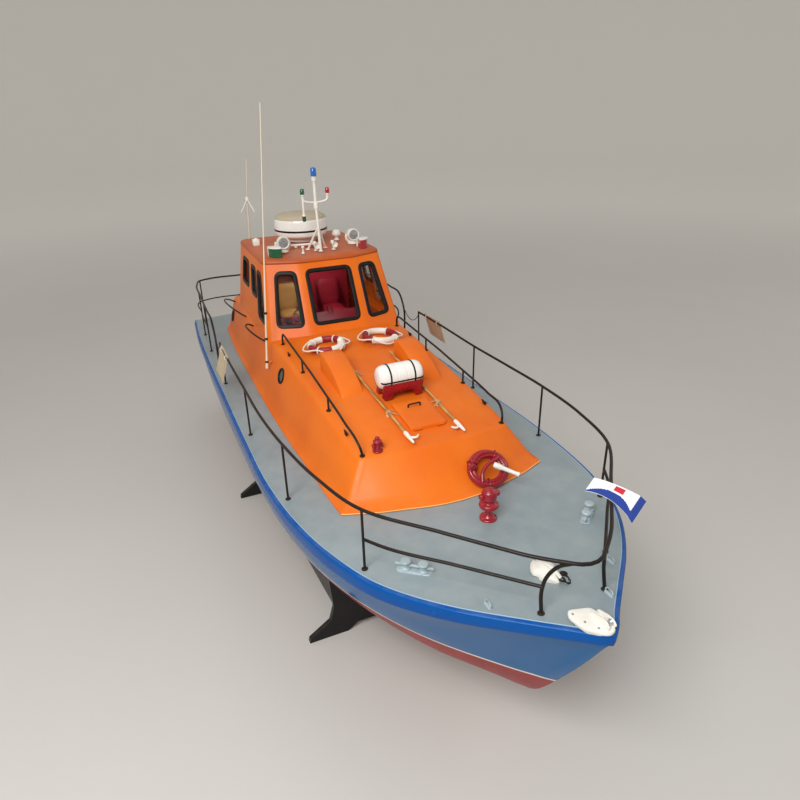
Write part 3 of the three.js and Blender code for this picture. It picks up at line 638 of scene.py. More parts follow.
def band_group():
    """Mask of a band: 1 between two values, with soft edges."""
    tree, i, o = new_group("value_band", {"Value": 0.0, "Low": 0.0, "High": 1.0, "Soft": 0.0002}, {"Mask": 1})
    rise = span(tree, i["Value"], i["Low"], calc(tree, "ADD", i["Low"], i["Soft"]))
    fall = span(tree, i["Value"], i["High"], calc(tree, "ADD", i["High"], i["Soft"]), 1.0, 0.0)
    feed(tree, o["Mask"], calc(tree, "MULTIPLY", rise, fall))
    return tree


def grain_group():
    """Wood grain or fibre: noise on coordinates drawn out along X, sharpened into streaks."""
    tree, i, o = new_group("long_grain", {
        "Vector": ORIGIN, "Light": PURE_WHITE, "Dark": BLACK, "Scale": 300.0}, {"Colour": 4, "Height": 1})
    drawn = add_node(tree, "Mapping", {"Vector": i["Vector"], "Scale": (0.06, 1.0, 1.0)})
    streak = noise(tree, drawn.outputs[0], i["Scale"], 5, 0.6)
    feed(tree, o["Colour"], blend_colour(tree, span(tree, streak, 0.38, 0.62), i["Dark"], i["Light"]))
    feed(tree, o["Height"], streak)
    return tree


FILM, DUST, BAND, GRAIN = film_group(), dust_group(), band_group(), grain_group()


def use(tree, group, **inputs):
    """A group placed in a material. Underscores in the names stand for spaces."""
    named = {key.replace("_", " "): value for key, value in inputs.items()}
    return add_node(tree, "Group", named, node_tree=group).outputs


def new_material(name, **constants):
    """Material with a Principled shader. constants are set on the shader's own sockets."""
    mat = bpy.data.materials.new(name)
    mat.use_nodes = True
    tree = mat.node_tree
    shader = tree.nodes["Principled BSDF"].inputs
    for key, value in constants.items():
        shader[key.replace("_", " ")].default_value = value
    return mat, tree, shader, add_node(tree, "TexCoord").outputs["Object"]


def film(tree, vector, colour, shade, amount, cloud, rough, spread, grain):
    """The film group placed in a material."""
    return use(tree, FILM, Vector=vector, Colour=colour, Shade=shade, Amount=amount, Cloud_Scale=cloud,
               Roughness=rough, Spread=spread, Grain_Scale=grain)


def bump(tree, height, strength, distance, target):
    """Relief by a height, fed to a normal socket."""
    node = add_node(tree, "Bump", {"Height": height, "Strength": strength, "Distance": distance})
    feed(tree, target, node.outputs[0])


def painted(name, colour, shade=None, rough=0.35, amount=0.35, cloud=18.0, spread=0.12, grain=1400.0,
            deep=0.02, dust=0.08, coat=(0.0, 0.03), **constants):
    """A paint, plastic or metal: the film group, dust on top and a grain bump, deep in
    millimetres. coat is the clear coat's weight and roughness."""
    mat, tree, shader, vector = new_material(name, Coat_Weight=coat[0], Coat_Roughness=coat[1], **constants)
    shade = rgb(*shade) if shade else darker(rgb(*colour), 0.72)
    base = film(tree, vector, rgb(*colour), shade, amount, cloud, rough, spread, grain)
    dusty = use(tree, DUST, Vector=vector, Colour=base["Colour"], Amount=dust)
    feed(tree, shader["Base Color"], dusty["Colour"])
    feed(tree, shader["Roughness"], calc(tree, "ADD", base["Roughness"], dusty["Mask"]))
    bump(tree, base["Height"], 0.5, deep * MM, shader["Normal"])
    return mat


def hull_paint():
    """Blue topsides, white stripe and red bottom by height, each edge soft by a quarter of a
    millimetre. The bottom is duller."""
    mat, tree, shader, vector = new_material("hull_paint", Coat_Weight=0.14, Coat_Roughness=0.05,
                                             Specular_IOR_Level=0.2)
    height = height_of(tree, vector)
    low, high, soft = (WATERLINE - STRIPE / 2) * MM, (WATERLINE + STRIPE / 2) * MM, 0.25 * MM
    blue = film(tree, vector, rgb(0, 92, 150), rgb(0, 76, 132), 0.5, 9.0, 0.2, 0.06, 600.0)
    red = film(tree, vector, rgb(158, 58, 56), rgb(128, 44, 44), 0.6, 30.0, 0.5, 0.2, 1500.0)
    above = span(tree, height, high, high + soft)
    stripe = use(tree, BAND, Value=height, Low=low, High=high, Soft=soft)["Mask"]
    colour = blend_colour(tree, above, red["Colour"], blue["Colour"])
    feed(tree, shader["Base Color"], blend_colour(tree, stripe, colour, rgb(226, 224, 216)))
    rough = add_node(tree, "Mix", {0: above, 2: red["Roughness"], 3: blue["Roughness"]})
    feed(tree, shader["Roughness"], rough.outputs[0])
    bump(tree, blue["Height"], 0.35, 0.02 * MM, shader["Normal"])
    return mat


def glass_pane(name, tint):
    """Clear glass, faintly tinted."""
    mat, tree, shader, vector = new_material(name, Transmission_Weight=1.0, IOR=1.15, Metallic=0.0, Alpha=0.2)
    base = film(tree, vector, tint, darker(tint, 0.9), 0.3, 40.0, 0.03, 0.02, 300.0)
    feed(tree, shader["Base Color"], base["Colour"])
    feed(tree, shader["Roughness"], base["Roughness"])
    return mat


def grained(name, light, dark, scale, rough, strength, deep, **constants):
    """Wood, or rope yarn over the laid form: streaks in colour, gloss and relief."""
    mat, tree, shader, vector = new_material(name, **constants)
    grain = use(tree, GRAIN, Vector=vector, Light=rgb(*light), Dark=rgb(*dark), Scale=scale)
    feed(tree, shader["Base Color"], grain["Colour"])
    feed(tree, shader["Roughness"], span(tree, grain["Height"], 0.3, 0.7, *rough))
    bump(tree, grain["Height"], strength, deep * MM, shader["Normal"])
    return mat


def fibre(name, light, dark):
    """Rope yarn: fine grain with a little sheen."""
    return grained(name, light, dark, 2500.0, (0.8, 0.95), 0.5, 0.05, Sheen_Weight=0.25)


HULL_PAINT = hull_paint()
STRAKE_BLUE = painted("strake_blue", (0, 78, 152), (0, 64, 134), 0.26, cloud=12, spread=0.08, coat=(0.08, 0.06),
                      Specular_IOR_Level=0.12)
# Painted highlight: pale blue for the light caught along the deck's edge
DECK_EDGE_HIGHLIGHT = painted("deck_edge_painted_highlight", (150, 182, 206), rough=0.4)
DECK_GREY = painted("deck_grey", (136, 150, 155), (120, 134, 140), 0.34, 0.5, 14, 0.14, 2200, 0.04, 0.12,
                    coat=(0.25, 0.2))
ORANGE = painted("rescue_orange", (230, 114, 22), (212, 88, 14), 0.42, 0.5, 11, 0.12, 1600, 0.03, 0.02,
                 coat=(0.07, 0.16), Specular_IOR_Level=0.2)
# Roof orange: the wheelhouse orange darkened, painted shade for the top, which takes less light
SHADED_ROOF_ORANGE = painted("roof_orange_painted_shade", (186, 88, 36), (166, 72, 30), 0.44, 0.6, 16, dust=0.09, coat=(0.08, 0.25),
                      Specular_IOR_Level=0.3)
# Painted highlight: pale orange for the lit edge of the coachroof's foot flange
FLANGE_HIGHLIGHT = painted("flange_edge_painted_highlight", (250, 186, 104), rough=0.5, dust=0)
RUBBER = painted("window_rubber", (18, 16, 16), (34, 30, 28), 0.46, 0.4, 60, grain=2500, deep=0.04, dust=0.01,
                 Specular_IOR_Level=0.22)
RAIL_BLACK = painted("rail_black", (30, 26, 24), (50, 40, 32), 0.38, 0.5, 90, 0.2, dust=0.02, Metallic=0.3,
                     Specular_IOR_Level=0.3)
CRADLE_BLACK = painted("cradle_black", (16, 16, 17), (28, 27, 26), 0.36, 0.5, 22, 0.18, 700, 0.05, 0.06,
                       Specular_IOR_Level=0.3)
KEEL_RED = painted("keel_red", (158, 58, 56), rough=0.5)
WHITE = painted("white_fittings", (232, 229, 220), (208, 202, 190), 0.36, 0.4, 70, dust=0.03)
RAFT_WHITE = painted("raft_white", (240, 239, 234), (222, 220, 212), 0.26, cloud=50, dust=0, coat=(0.4, 0.12))
GEAR_RED = painted("gear_red", (152, 14, 32), (112, 8, 22), 0.28, 0.5, 80, dust=0.02, coat=(0.4, 0.15))
CABIN_RED = painted("cabin_red", (190, 16, 46), (160, 10, 36), 0.7, 0.5, 30, grain=1200, deep=0.08, dust=0,
                    Sheen_Weight=0.2)
VINYL = painted("seat_vinyl", (172, 16, 42), (140, 10, 32), 0.6, 0.4, 40, grain=1800, deep=0.1, dust=0)
OCHRE = painted("ochre_vinyl", (214, 158, 66), (186, 130, 50), 0.5, cloud=40, grain=1800, deep=0.1, dust=0)
SHELL_RED = painted("seat_shell_red", (132, 14, 34), rough=0.5, grain=1500, dust=0)
PANEL_BLACK = painted("panel_black", (30, 31, 34), rough=0.5, grain=1500, dust=0.02)
DRUM_LID = painted("drum_lid_beige", (186, 172, 146), (168, 152, 126), 0.5, cloud=30, dust=0.1)
RING_WHITE = painted("ring_white", (232, 226, 214), (210, 198, 182), 0.55, 0.5, 60, grain=2400, deep=0.08, dust=0)
RING_RED = painted("ring_red", (150, 22, 34), (118, 14, 26), 0.5, 0.5, 60, grain=2400, deep=0.08, dust=0)
GREY_METAL = painted("bollard_grey", (166, 182, 188), (140, 156, 164), 0.36, 0.5, 60, 0.15)
BRASS = painted("polished_brass", (204, 160, 84), (160, 116, 58), 0.26, 0.5, 45, 0.16, 1800, dust=0, Metallic=1.0)
AERIAL = painted("aerial_cream", (226, 214, 190), rough=0.5, dust=0)
CARD_WHITE = painted("card_white", (240, 240, 240), rough=0.6, cloud=40, grain=1200, dust=0)
CARD_BACK = painted("card_back", (196, 178, 148), (176, 156, 126), 0.75, 0.6, 60, grain=900, deep=0.08, dust=0)
CARD_BLUE, CARD_RED = (painted("card_" + word, colour, rough=0.55, dust=0) for word, colour in
                       (("blue", (26, 60, 150)), ("red", (206, 40, 62))))
LENS_GREEN, LENS_RED, LENS_BLUE = (
    painted("lens_" + word, colour, rough=0.16, dust=0, coat=(0.6, 0.03)) for word, colour in
    (("green", (4, 84, 44)), ("red", (170, 24, 40)), ("blue", (16, 104, 190))))
LAMP_SILVER = painted("lamp_silver", (196, 200, 202), rough=0.22, dust=0, Metallic=0.7)
DARK_GLASS = painted("porthole_glass", (26, 26, 34), (44, 40, 50), 0.12, dust=0, coat=(0.8, 0.04))
GLASS = glass_pane("clear_glass", rgb(226, 228, 226))
WOOD = grained("varnished_wood", (206, 158, 92), (150, 100, 50), 420.0, (0.42, 0.6), 0.6, 0.06, Coat_Weight=0.3,
               Coat_Roughness=0.2)
ROPE_WHITE = fibre("rope_white", (236, 230, 218), (206, 196, 180))
ROPE_STRAW = fibre("rope_straw", (208, 178, 124), (164, 128, 78))
LINE_BLACK = fibre("line_black", (44, 40, 38), (24, 22, 22))

for plain_node, finish in (("windscreen_glass", GLASS), ("side_glass_port", GLASS), ("side_glass_starboard", GLASS),
                           ("cradle", CRADLE_BLACK), ("keel", KEEL_RED)):
    node_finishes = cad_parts[plain_node].data.materials
    node_finishes.clear()
    node_finishes.append(finish)


def make_gate_lines():
    """Slack line across each side gate, between the stern rail's forward post and the guard
    rail's first post: the straight line less 4 * sag * s * (1 - s)."""
    s = np.linspace(0, 1, 40)[:, None]
    port = GATE_FROM + (GATE_TO - GATE_FROM) * s - (0, 0, 1) * (4 * GATE_SAG * s * (1 - s))
    for side, word in SIDES:
        path = port * (1, side, 1)
        line = put("gate_line_" + word, rope(path, GATE_THICK / 2, 2, 2.4, 10), LINE_BLACK)


make_gate_lines()


# Hull, strake, deck and coachroof
def hull_xs():
    """Where the hull's sections stand, closer together towards the stem."""
    return np.r_[np.linspace(STERN, 300, 60), np.linspace(304, 470, 42), np.linspace(473, STEM, 10)]


def make_hull():
    """Each section is the curve through keel, half bilge, bilge, waterline, flare and deck edge,
    mirrored and closed by the deck's crown. The bow sections close on the stem."""
    rows = []
    for x in hull_xs():
        deck_y, deck_z, side_y, side_z, bilge_y, bilge_z, keel_z = station(x)[:, 0]
        if x >= STEM:
            half = np.column_stack([np.zeros(40), np.linspace(keel_z, deck_z, 40)])
        else:
            half = smooth_path([(0, keel_z), (bilge_y * 0.5, keel_z + (bilge_z - keel_z) * 0.42),
                                (bilge_y, bilge_z), (side_y, side_z),
                                (side_y * 0.56 + deck_y * 0.44, (side_z + deck_z) / 2), (deck_y, deck_z)], 40)
            half[:, 0] = np.maximum(half[:, 0], 0)
        across = np.linspace(deck_y, -deck_y, 9)[1:-1]
        top = np.column_stack([across, crown(x, across) - 0.2])
        rows.append(np.insert(np.vstack([half, top, (half * (-1, 1))[:0:-1]]), 0, x, axis=1))
    put("topsides_and_bottom", loft(rows, cap="start"), HULL_PAINT, "hull", "topsides_blue", 50)


def make_strake():
    """Rubbing strake round the deck's edge: a section with rounded rims, whose depth shrinks
    towards the stem. A pale bead between it and the deck is a painted highlight along the edge."""
    xs = hull_xs()
    y, z = station(xs)[:2]
    port = np.column_stack([xs, y, z])
    transom = np.column_stack([np.full(12, STERN), np.linspace(-y[0], y[0], 14)[1:-1], np.full(12, z[0])])
    line = np.vstack([port, (port * (1, -1, 1))[-2::-1], transom])
    along = unit(np.roll(line, -1, 0) - np.roll(line, 1, 0))
    out = np.column_stack([-along[:, 1], along[:, 0], np.zeros(len(line))])
    top, bottom = 1.6, 5.4 * np.maximum(0, (line[:, 0] - 300) / 186) - STRAKE_DEEP
    # share of the depth, reach outwards
    section = np.array([(0, 0.3), (0, 1.6), (0.03, 2.9), (0.1, 3.7), (0.2, 4.0), (0.8, 4.0), (0.92, 3.7),
                        (0.98, 2.9), (1, 1.6), (1, 0.3)])
    points = line[:, None] + out[:, None] * section[:, 1, None]
    points[..., 2] += top - section[:, 0] * (top - bottom)[:, None]
    # Pale bead: a painted highlight along the deck's edge
    bead = line - out * 0.3 + (0, 0, top + 0.1)
    put("blue_strake", [grid(points, wrap_m=True, wrap_n=True), tube(bead, 0.5, 8, closed=True, mat=1)],
        [STRAKE_BLUE, DECK_EDGE_HIGHLIGHT], "rubbing_strake", "strake_blue", 60)


def make_deck():
    """Cambered deck sheet: z = crown(x, y) + 1.5, closed underneath."""
    rows = []
    for x in hull_xs():
        half = max(0.0, station(x)[0, 0] - 0.4)
        y = np.linspace(half, -half, 25)
        sheet = [np.column_stack([y * 0 + x, y, crown(x, y) + rise]) for rise in (DECK_TOP, 0.3)]
        rows.append(np.vstack([sheet[0], sheet[1][::-1]]))
    put("grey_deck", loft(rows, cap="start"), DECK_GREY, "deck", "deck_grey", 50)


def make_coachroof():
    """Each row runs from a small foot flange up the leaning side, round the top edge by a
    quadratic of 6 mm, 3 mm at the front, and over the cambered top to the centre line. The front
    rows fan from one point of the centre line. A pale bead along the foot of the front is a
    painted highlight: the lit edge of the flange."""
    d = lengths(COACH[:, :2])
    at = np.r_[np.linspace(0, d[6], 60), np.linspace(d[6], d[-1], 110)[1:]]
    edge = np.interp(at, (d[5], d[7]), (6.0, 3.0))[:, None]
    foot_x, foot_y, top_x, top_y, top_z = hermite(d, COACH, at).T
    foot_y, top_y = np.maximum(foot_y, 0), np.maximum(top_y, 0)
    foot_y[-1] = top_y[-1] = 0
    foot = np.column_stack([foot_x, foot_y, crown(foot_x, foot_y) + DECK_TOP])
    top = np.column_stack([top_x, top_y, top_z + COACH_CAMBER * (1 - (top_y / COACH_HALF) ** 2)])
    spine_x = np.minimum(top_x, 185)
    spine = np.column_stack([spine_x, spine_x * 0, coach_top(spine_x, 0)])
    level = np.array((1, 1, 0))
    out = unit((foot - top) * level + np.outer((foot_y > 1) * 0.01, (0, 1, 0)))
    up, over = unit(top - foot), unit((spine - top) * level)
    # flange: outwards, upwards, along the side
    flange = ((4.2, 0, 0), (4.2, 1.0, 0), (3.6, 1.5, 0), (2.2, 1.9, 0), (0.9, 2.6, 0.4), (0, 0, 5.0))
    steps = [foot + out * a + np.array((0, 0, b)) + up * c for a, b, c in flange]
    side = np.linalg.norm(top - foot, axis=1)[:, None] - 5 - edge
    steps += [foot + up * (5 + side * f) for f in (0.25, 0.5, 0.75, 1.0)]
    before, after = top - up * edge, top + over * edge
    after[:, 2] = coach_top(after[:, 0], after[:, 1])
    steps += [(1 - t) ** 2 * before + 2 * t * (1 - t) * top + t * t * after for t in (0.2, 0.4, 0.6, 0.8, 1.0)]
    for f in np.linspace(0, 1, 14)[1:]:
        p = after + (spine - after) * f
        p[:, 2] = coach_top(p[:, 0], p[:, 1])
        steps.append(p)
    half = np.stack(steps, 1)
    half[-1, :, 1] = 0
    half[:, :, 1] = np.maximum(half[:, :, 1], 0)
    shell = grid(half)
    aft = np.vstack([half[0], (half[0] * (1, -1, 1))[-2::-1]])
    obj = put("orange_coachroof", [shell, sided(shell, -1), (aft, [list(range(len(aft)))], np.zeros(1))],
              ORANGE, "coachroof", "orange", 45)
    wall = obj.modifiers.new("wall", "SOLIDIFY")
    wall.thickness, wall.offset = 2.4 * MM, -1
    # Pale bead at the foot of the front: a painted highlight for the flange's lit edge
    lit_flange_edge = (foot + out * 4.3)[at >= d[8]] + (0, 0, 1.4)
    lit_flange_edge[-1, 1] = 0
    put("coachroof_front_lit_edge", tube(np.vstack([lit_flange_edge, (lit_flange_edge * (1, -1, 1))[-2::-1]]), 0.55, 8), FLANGE_HIGHLIGHT)
    carve(obj, [loft([lifted(cabin(z, 8), z) for z in (170, 268)])], 45)


# Wheelhouse
def make_wheelhouse():
    """Rounded outline lofted from the coachroof to the roof, hollowed by the same outline moved in
    by the wall and cut by each window's prism."""
    outer = loft([cabin_ring(z, 0, 7) for z in np.linspace(240, ROOF_Z, 12)])
    obj = put("orange_wheelhouse", outer, ORANGE, "wheelhouse", "orange", 50)
    cuts = [loft([cabin_ring(z, WALL, 5) for z in (230, ROOF_Z + 4)])]
    for panes, plane, low, high in ((FRONT_PANES, "yz", -175, -60), (SIDE_PANES, "xz", -120, 120),
                                    ([AFT_PANE], "yz", -330, -290)):
        cuts += [prism(rounded(pane, PANE_CORNER), plane, low, high) for pane in panes]
    carve(obj, cuts, 40)


def seal(outline, wall):
    """Window rubber: a rounded section carried round the pane's outline, standing on the wall."""
    middle = inset_outline(rounded(outline, PANE_CORNER, 6), SEAL_WIDE / 2 - SEAL_OVER)
    deep, wide = WALL / 2 + SEAL_PROUD, SEAL_WIDE / 2
    section = rounded([(-deep, -wide), (deep, -wide), (deep, wide), (-deep, wide)], 1.3, 3)
    return sweep(wall(middle, -WALL / 2), section, closed=True, up=wall(middle, 1.0) - wall(middle, 0.0))


def make_seals():
    """A seal round each pane, and the aft pane's glass, 1 mm thick, set 1 mm into the wall."""
    put("front_window_seals", [seal(pane, front_wall) for pane in FRONT_PANES], RUBBER, sharp=60)
    put_pair("side_window_seals_{}", [seal(pane, side_wall) for pane in SIDE_PANES], RUBBER, sharp=60)
    put("aft_window_seal", seal(AFT_PANE, aft_wall), RUBBER, sharp=60)
    pane = inset_outline(rounded(AFT_PANE, PANE_CORNER), 1.5)
    put("aft_window_glass", loft([aft_wall(pane, out) for out in (-1.0, -2.0)]), GLASS)


def make_door():
    """Door panel low on the aft wall: a raised rounded leaf with a rim groove, two hinges and a
    lever handle. It is on the side that the photograph hides."""
    leaf = rounded([(-36, 256), (8, 256), (8, 338), (-36, 338)], 7)
    # inset from the rim, out from the wall
    levels = ((0.0, -0.6), (0.0, 0.5), (0.3, 0.9), (0.9, 1.1), (4.0, 1.1), (4.4, 0.7), (5.0, 0.7), (5.4, 1.1))
    put("aft_door", loft([aft_wall(inset_outline(leaf, inset), out) for inset, out in levels]), ORANGE, sharp=35)
    hinges = [tube([aft_wall((-36.5, z), 1.6), aft_wall((-36.5, z + 7), 1.6)], 1.3) for z in (268.0, 318.0)]
    lever = smooth_path([aft_wall((y, 298), out) for y, out in ((2, 0.8), (2, 4.0), (-1, 4.8), (-11, 4.8))], 14)
    put("door_hinges_and_handle", hinges + [tube(lever, 0.9, 10)], RAIL_BLACK)


def make_roof():
    """Roof: the outline at roof height, moved in as it rises so that its rim is round, and crowned
    by 1.2 mm towards the middle."""
    # rise above the wall's top, inset
    rows = ((0.3, 1.0), (0.35, -0.2), (0.9, -0.6), (2.6, -0.6), (4.6, 0.4), (6.1, 2.6), (7.1, 6.2), (7.7, 11.0),
            (8.0, 18.0), (8.4, 30.0), (8.7, 45.0), (8.8, 60.0))
    rings = [cabin_ring(ROOF_Z, inset, 10 if inset < 20 else 4) + (0, 0, rise) for rise, inset in rows]
    # The roof takes the darker orange: painted shade on the top
    put("wheelhouse_top", loft(rings), SHADED_ROOF_ORANGE, "wheelhouse_roof", "orange", 50)


def pillow(place, half, axis="z"):
    """Crowned pad: a rounded square drawn by |cos a|^0.42 and |sin a|^0.42, whose thickness is
    (1 - r^4)^0.5 at distance r from the middle, with two sewn channels across it."""
    a = circle(64)
    shape = np.stack([np.sign(w) * np.abs(w) ** 0.42 for w in (np.cos(a), np.sin(a))], -1)
    rows = []
    for sign, radii in ((-1, np.linspace(0.02, 1, 14)), (1, np.linspace(1, 0.02, 14)[1:])):
        for r in radii:
            channel = 1 - 0.16 * np.exp(-((np.abs(shape[:, 0] * r) - 0.33) / 0.06) ** 2)
            rows.append(lifted(shape * r, sign * math.sqrt(1 - r**4) * channel))
    p = np.array(rows)
    if axis == "x":
        p = p[..., [2, 1, 0]]
    return loft(p * half + place)


def make_cabin_inside():
    """Red floor with a raised sole, console with dials, a spoked wheel and levers, a partition
    and two padded seats on pedestals."""
    floor = HELM_FLOOR
    sole = [block((-300, -96), (-84, 84), (190, floor - 1.2))]
    sole += [block((-296, -100), (y - 9, y + 9), (floor - 1.2, floor), 0.3) for y in range(-70, 71, 20)]
    put("cabin_sole", sole, CABIN_RED, "cabin_floor", "cabin_red")
    body = rounded([(-128, floor + 0.3), (-104, floor + 0.3), (-110, 258), (-116, 264), (-150, 271), (-152, 258),
                    (-134, 250)], 4, 4)
    dial = turned([(0, -0.5), (5.2, -0.5), (5.2, 0.9), (4.6, 1.4), (4.2, 0.8), (0, 0.8)], sides=24, mat=1)
    dials = [posed(dial, (-132, y, 268.0), (0, 1, 0), (7.0, 0, 34.0)) for y in (-58, -44, -30)]
    put("helm_panel", [prism(body, "xz", -70, 70, 0, 1.2)] + dials, [SHELL_RED, PANEL_BLACK], "helm_console",
        "cabin_red")
    a = circle(28)
    rim = np.column_stack([-158 - 4 * np.sin(a), -30 + 15 * np.cos(a), 262 + 14 * np.sin(a)])
    hub = (-158.0, -30.0, 262.0)
    wheel = [tube(rim, 1.2, 10, closed=True), tube([hub, (-148.0, -30.0, 264.0)], 1.6, 10)]
    wheel += [tube([hub, rim[k]], 0.8, 8) for k in (2, 11, 20)]
    wheel += [tube([(-140.0, y, 268.0), (-144.0, y, 279.0)], (0.8, 1.5), 10) for y in (4.0, 10.0)]
    put("helm_wheel_and_levers", wheel, PANEL_BLACK)
    wall = rounded([(-16, floor), (74, floor), (71, 344), (-16, 344)], 2, 3)
    put("cabin_partition", prism(wall, "yz", -249, -247, 0, 0.4), CABIN_RED)
    pedestal = turned([(0, 0), (15, 0), (15, 2), (6, 4), (4.5, 8), (4.5, 36), (12, 38), (12, 39.5), (0, 39.5)],
                      (-214, 35, floor + 0.3), sides=32)
    shell = rounded([(-238, 247), (-196, 247), (-196, 249.5), (-235, 249.5), (-241, 296), (-243.5, 296)], 1.5, 3)
    frame_parts = [pedestal, prism(shell, "xz", 16, 54, 0, 0.6)]
    back = rotated(pillow((0, 35, 0), (3.6, 17.5, 21), "x"), "y", math.radians(-7))
    pads = (("seat", pillow((-216, 35, 253.2), (20, 17.5, 3.8))), ("back", shifted(back, (-235.0, 0, 276.0))))
    for side, word in SIDES:
        put("helm_seat_frame_" + word, [sided(p, side) for p in frame_parts], SHELL_RED, "helm_seat_" + word,
            "cabin_red")
        for kind, pad in pads:
            put(f"helm_{kind}_pad_{word}", sided(pad, side), VINYL if side > 0 else OCHRE)


make_hull()
make_strake()
make_deck()
make_coachroof()
make_wheelhouse()
make_seals()
make_door()
make_roof()
make_cabin_inside()


# Coachroof gear
def slab_on(outline, low, high, soft, base):
    """Low pad on a curved surface: rings of the outline from a point below, out, up its side,
    round its rim and back to a point on top, each lifted by base(x, y)."""
    p = np.asarray(outline, float)
    rim = inset_outline(p, soft)
    rings = [(p.mean(0) + (p - p.mean(0)) * share, low) for share in (0.01, 0.5, 1.0)]
    rings += [(p, high - soft), (inset_outline(p, soft * 0.3), high - soft * 0.3), (rim, high)]
    rings += [(p.mean(0) + (rim - p.mean(0)) * share, high) for share in (0.8, 0.5, 0.25, 0.01)]
    return loft([lifted(flat, base(*flat.T) + level) for flat, level in rings])


def make_portholes():
    """Round dark panes with a stepped black rim, turned about the normal of the coachroof's side."""
    rim = turned([(8.2, -1.0), (10.6, -1.0), (10.6, 0.9), (10.2, 1.6), (9.0, 1.9), (8.4, 1.5), (8.0, 0.6),
                  (8.0, -1.0)], sides=40)
    pane = turned([(0, 0.2), (4, 0.5), (8.3, 0.3), (8.3, -0.6), (0, -0.6)], sides=40, mat=1)
    parts = []
    for x, z in ((-372, 216), (-24, 232)):
        place, ahead, above = (np.array((u, coach_side(u, w), w)) for u, w in ((x, z), (x + 5, z), (x, z + 5)))
        normal = np.cross(above - place, ahead - place)
        parts += [posed(part, place, ahead - place, normal) for part in (rim, pane)]
    put_pair("portholes_{}", parts, [RUBBER, DARK_GLASS], sharp=50)


def cleat(x, y, half=5.5, stock=1.1):
    """Horn cleat: two short legs under a bar whose horns taper and lift."""
    z = on_top(x, y)
    s = np.linspace(-1, 1, 15)
    horn = np.column_stack([x + half * s, y + 0 * s, z + 2.6 + 0.7 * s**2])
    legs = [tube([(x + k, y, z - 0.6), (x + k, y, z + 2.8)], stock * 1.05, 8) for k in (-half * 0.3, half * 0.3)]
    return [tube(horn, stock * (1 - 0.55 * s**4), 10)] + legs


def foot_plate(x, y, z, radius=2.8):
    """Small turned flange round the foot of a post."""
    return turned([(0, -0.2), (radius, -0.2), (radius, 0.6), (radius * 0.75, 1.0), (radius * 0.5, 1.4), (0, 1.4)],
                  (x, y, z))


def make_coachroof_rails():
    """Black rails along the coachroof's edge: a tube that rises from its after foot, runs level
    and comes down in a curve, on two posts. Short rails beside the wheelhouse stand square to the
    coachroof's side, their feet 6 mm below its top edge."""
    def top(x, rise, y=COACH_RAIL_Y, read=None):
        """Point above the coachroof by rise, whose height is read at x, or at read where given."""
        return x, y, on_top(x if read is None else read, y) + rise

    path = [top(-70, 0), top(-69.5, 10, read=-70), top(-66, 15)]
    path += [top(x, COACH_RAIL_UP) for x in range(-58, 201, 20)]
    path += [top(211, 14.5, 83), (217, 81.5, on_top(217, 82) + 9), (219, 80, on_top(218, 80))]
    parts = [tube(smooth_path(path, 110), 1.3, 10)]
    parts += [tube([top(x, 0), top(x, COACH_RAIL_UP)], 1.1, 10) for x in (26, 126)]
    parts += [foot_plate(*top(x, 0)) for x in (-70, 26, 126)] + [foot_plate(218, 80, on_top(218, 80))]
    short = []
    for start, end in ((-372, -246), (-190, -112)):
        rise = np.array([-0.8, 7, 11, 11, 7, -0.8])
        x = np.array([start, start + 1, start + 6, end - 6, end - 1, end])
        z = np.interp(x, COACH[:, 2], COACH[:, 4]) - 6.0
        y = np.array([coach_side(v, w) for v, w in zip(x, z)])
        short.append(tube(smooth_path(np.column_stack([x, y + 0.84 * rise, z + 0.54 * rise]), 40), 1.2, 10))
    for side, word in SIDES:
        put("coachroof_rail_" + word, [sided(p, side) for p in parts], RAIL_BLACK, "coachroof_handrail_" + word,
            "black_wire")
        put("shoulder_rails_" + word, [sided(p, side) for p in short], RAIL_BLACK)


def make_fairings():
    """Curved boxes beside the liferaft, their rims rounded and their feet cut to the top."""
    back = smooth_path([(112, 246.5), (107, 252.5), (94, 260.5), (76, 268.5), (56, 275), (38, 277.4), (31.5, 277)], 26)
    outline = np.vstack([[(30.5, 238), (112.2, 232)], back, [(30.2, 276)]])
    put_pair("fairing_{}_shell", [prism(outline, "xz", 36, 63, 0, 1.6)], ORANGE, "fairing_{}", slot="orange", sharp=35)


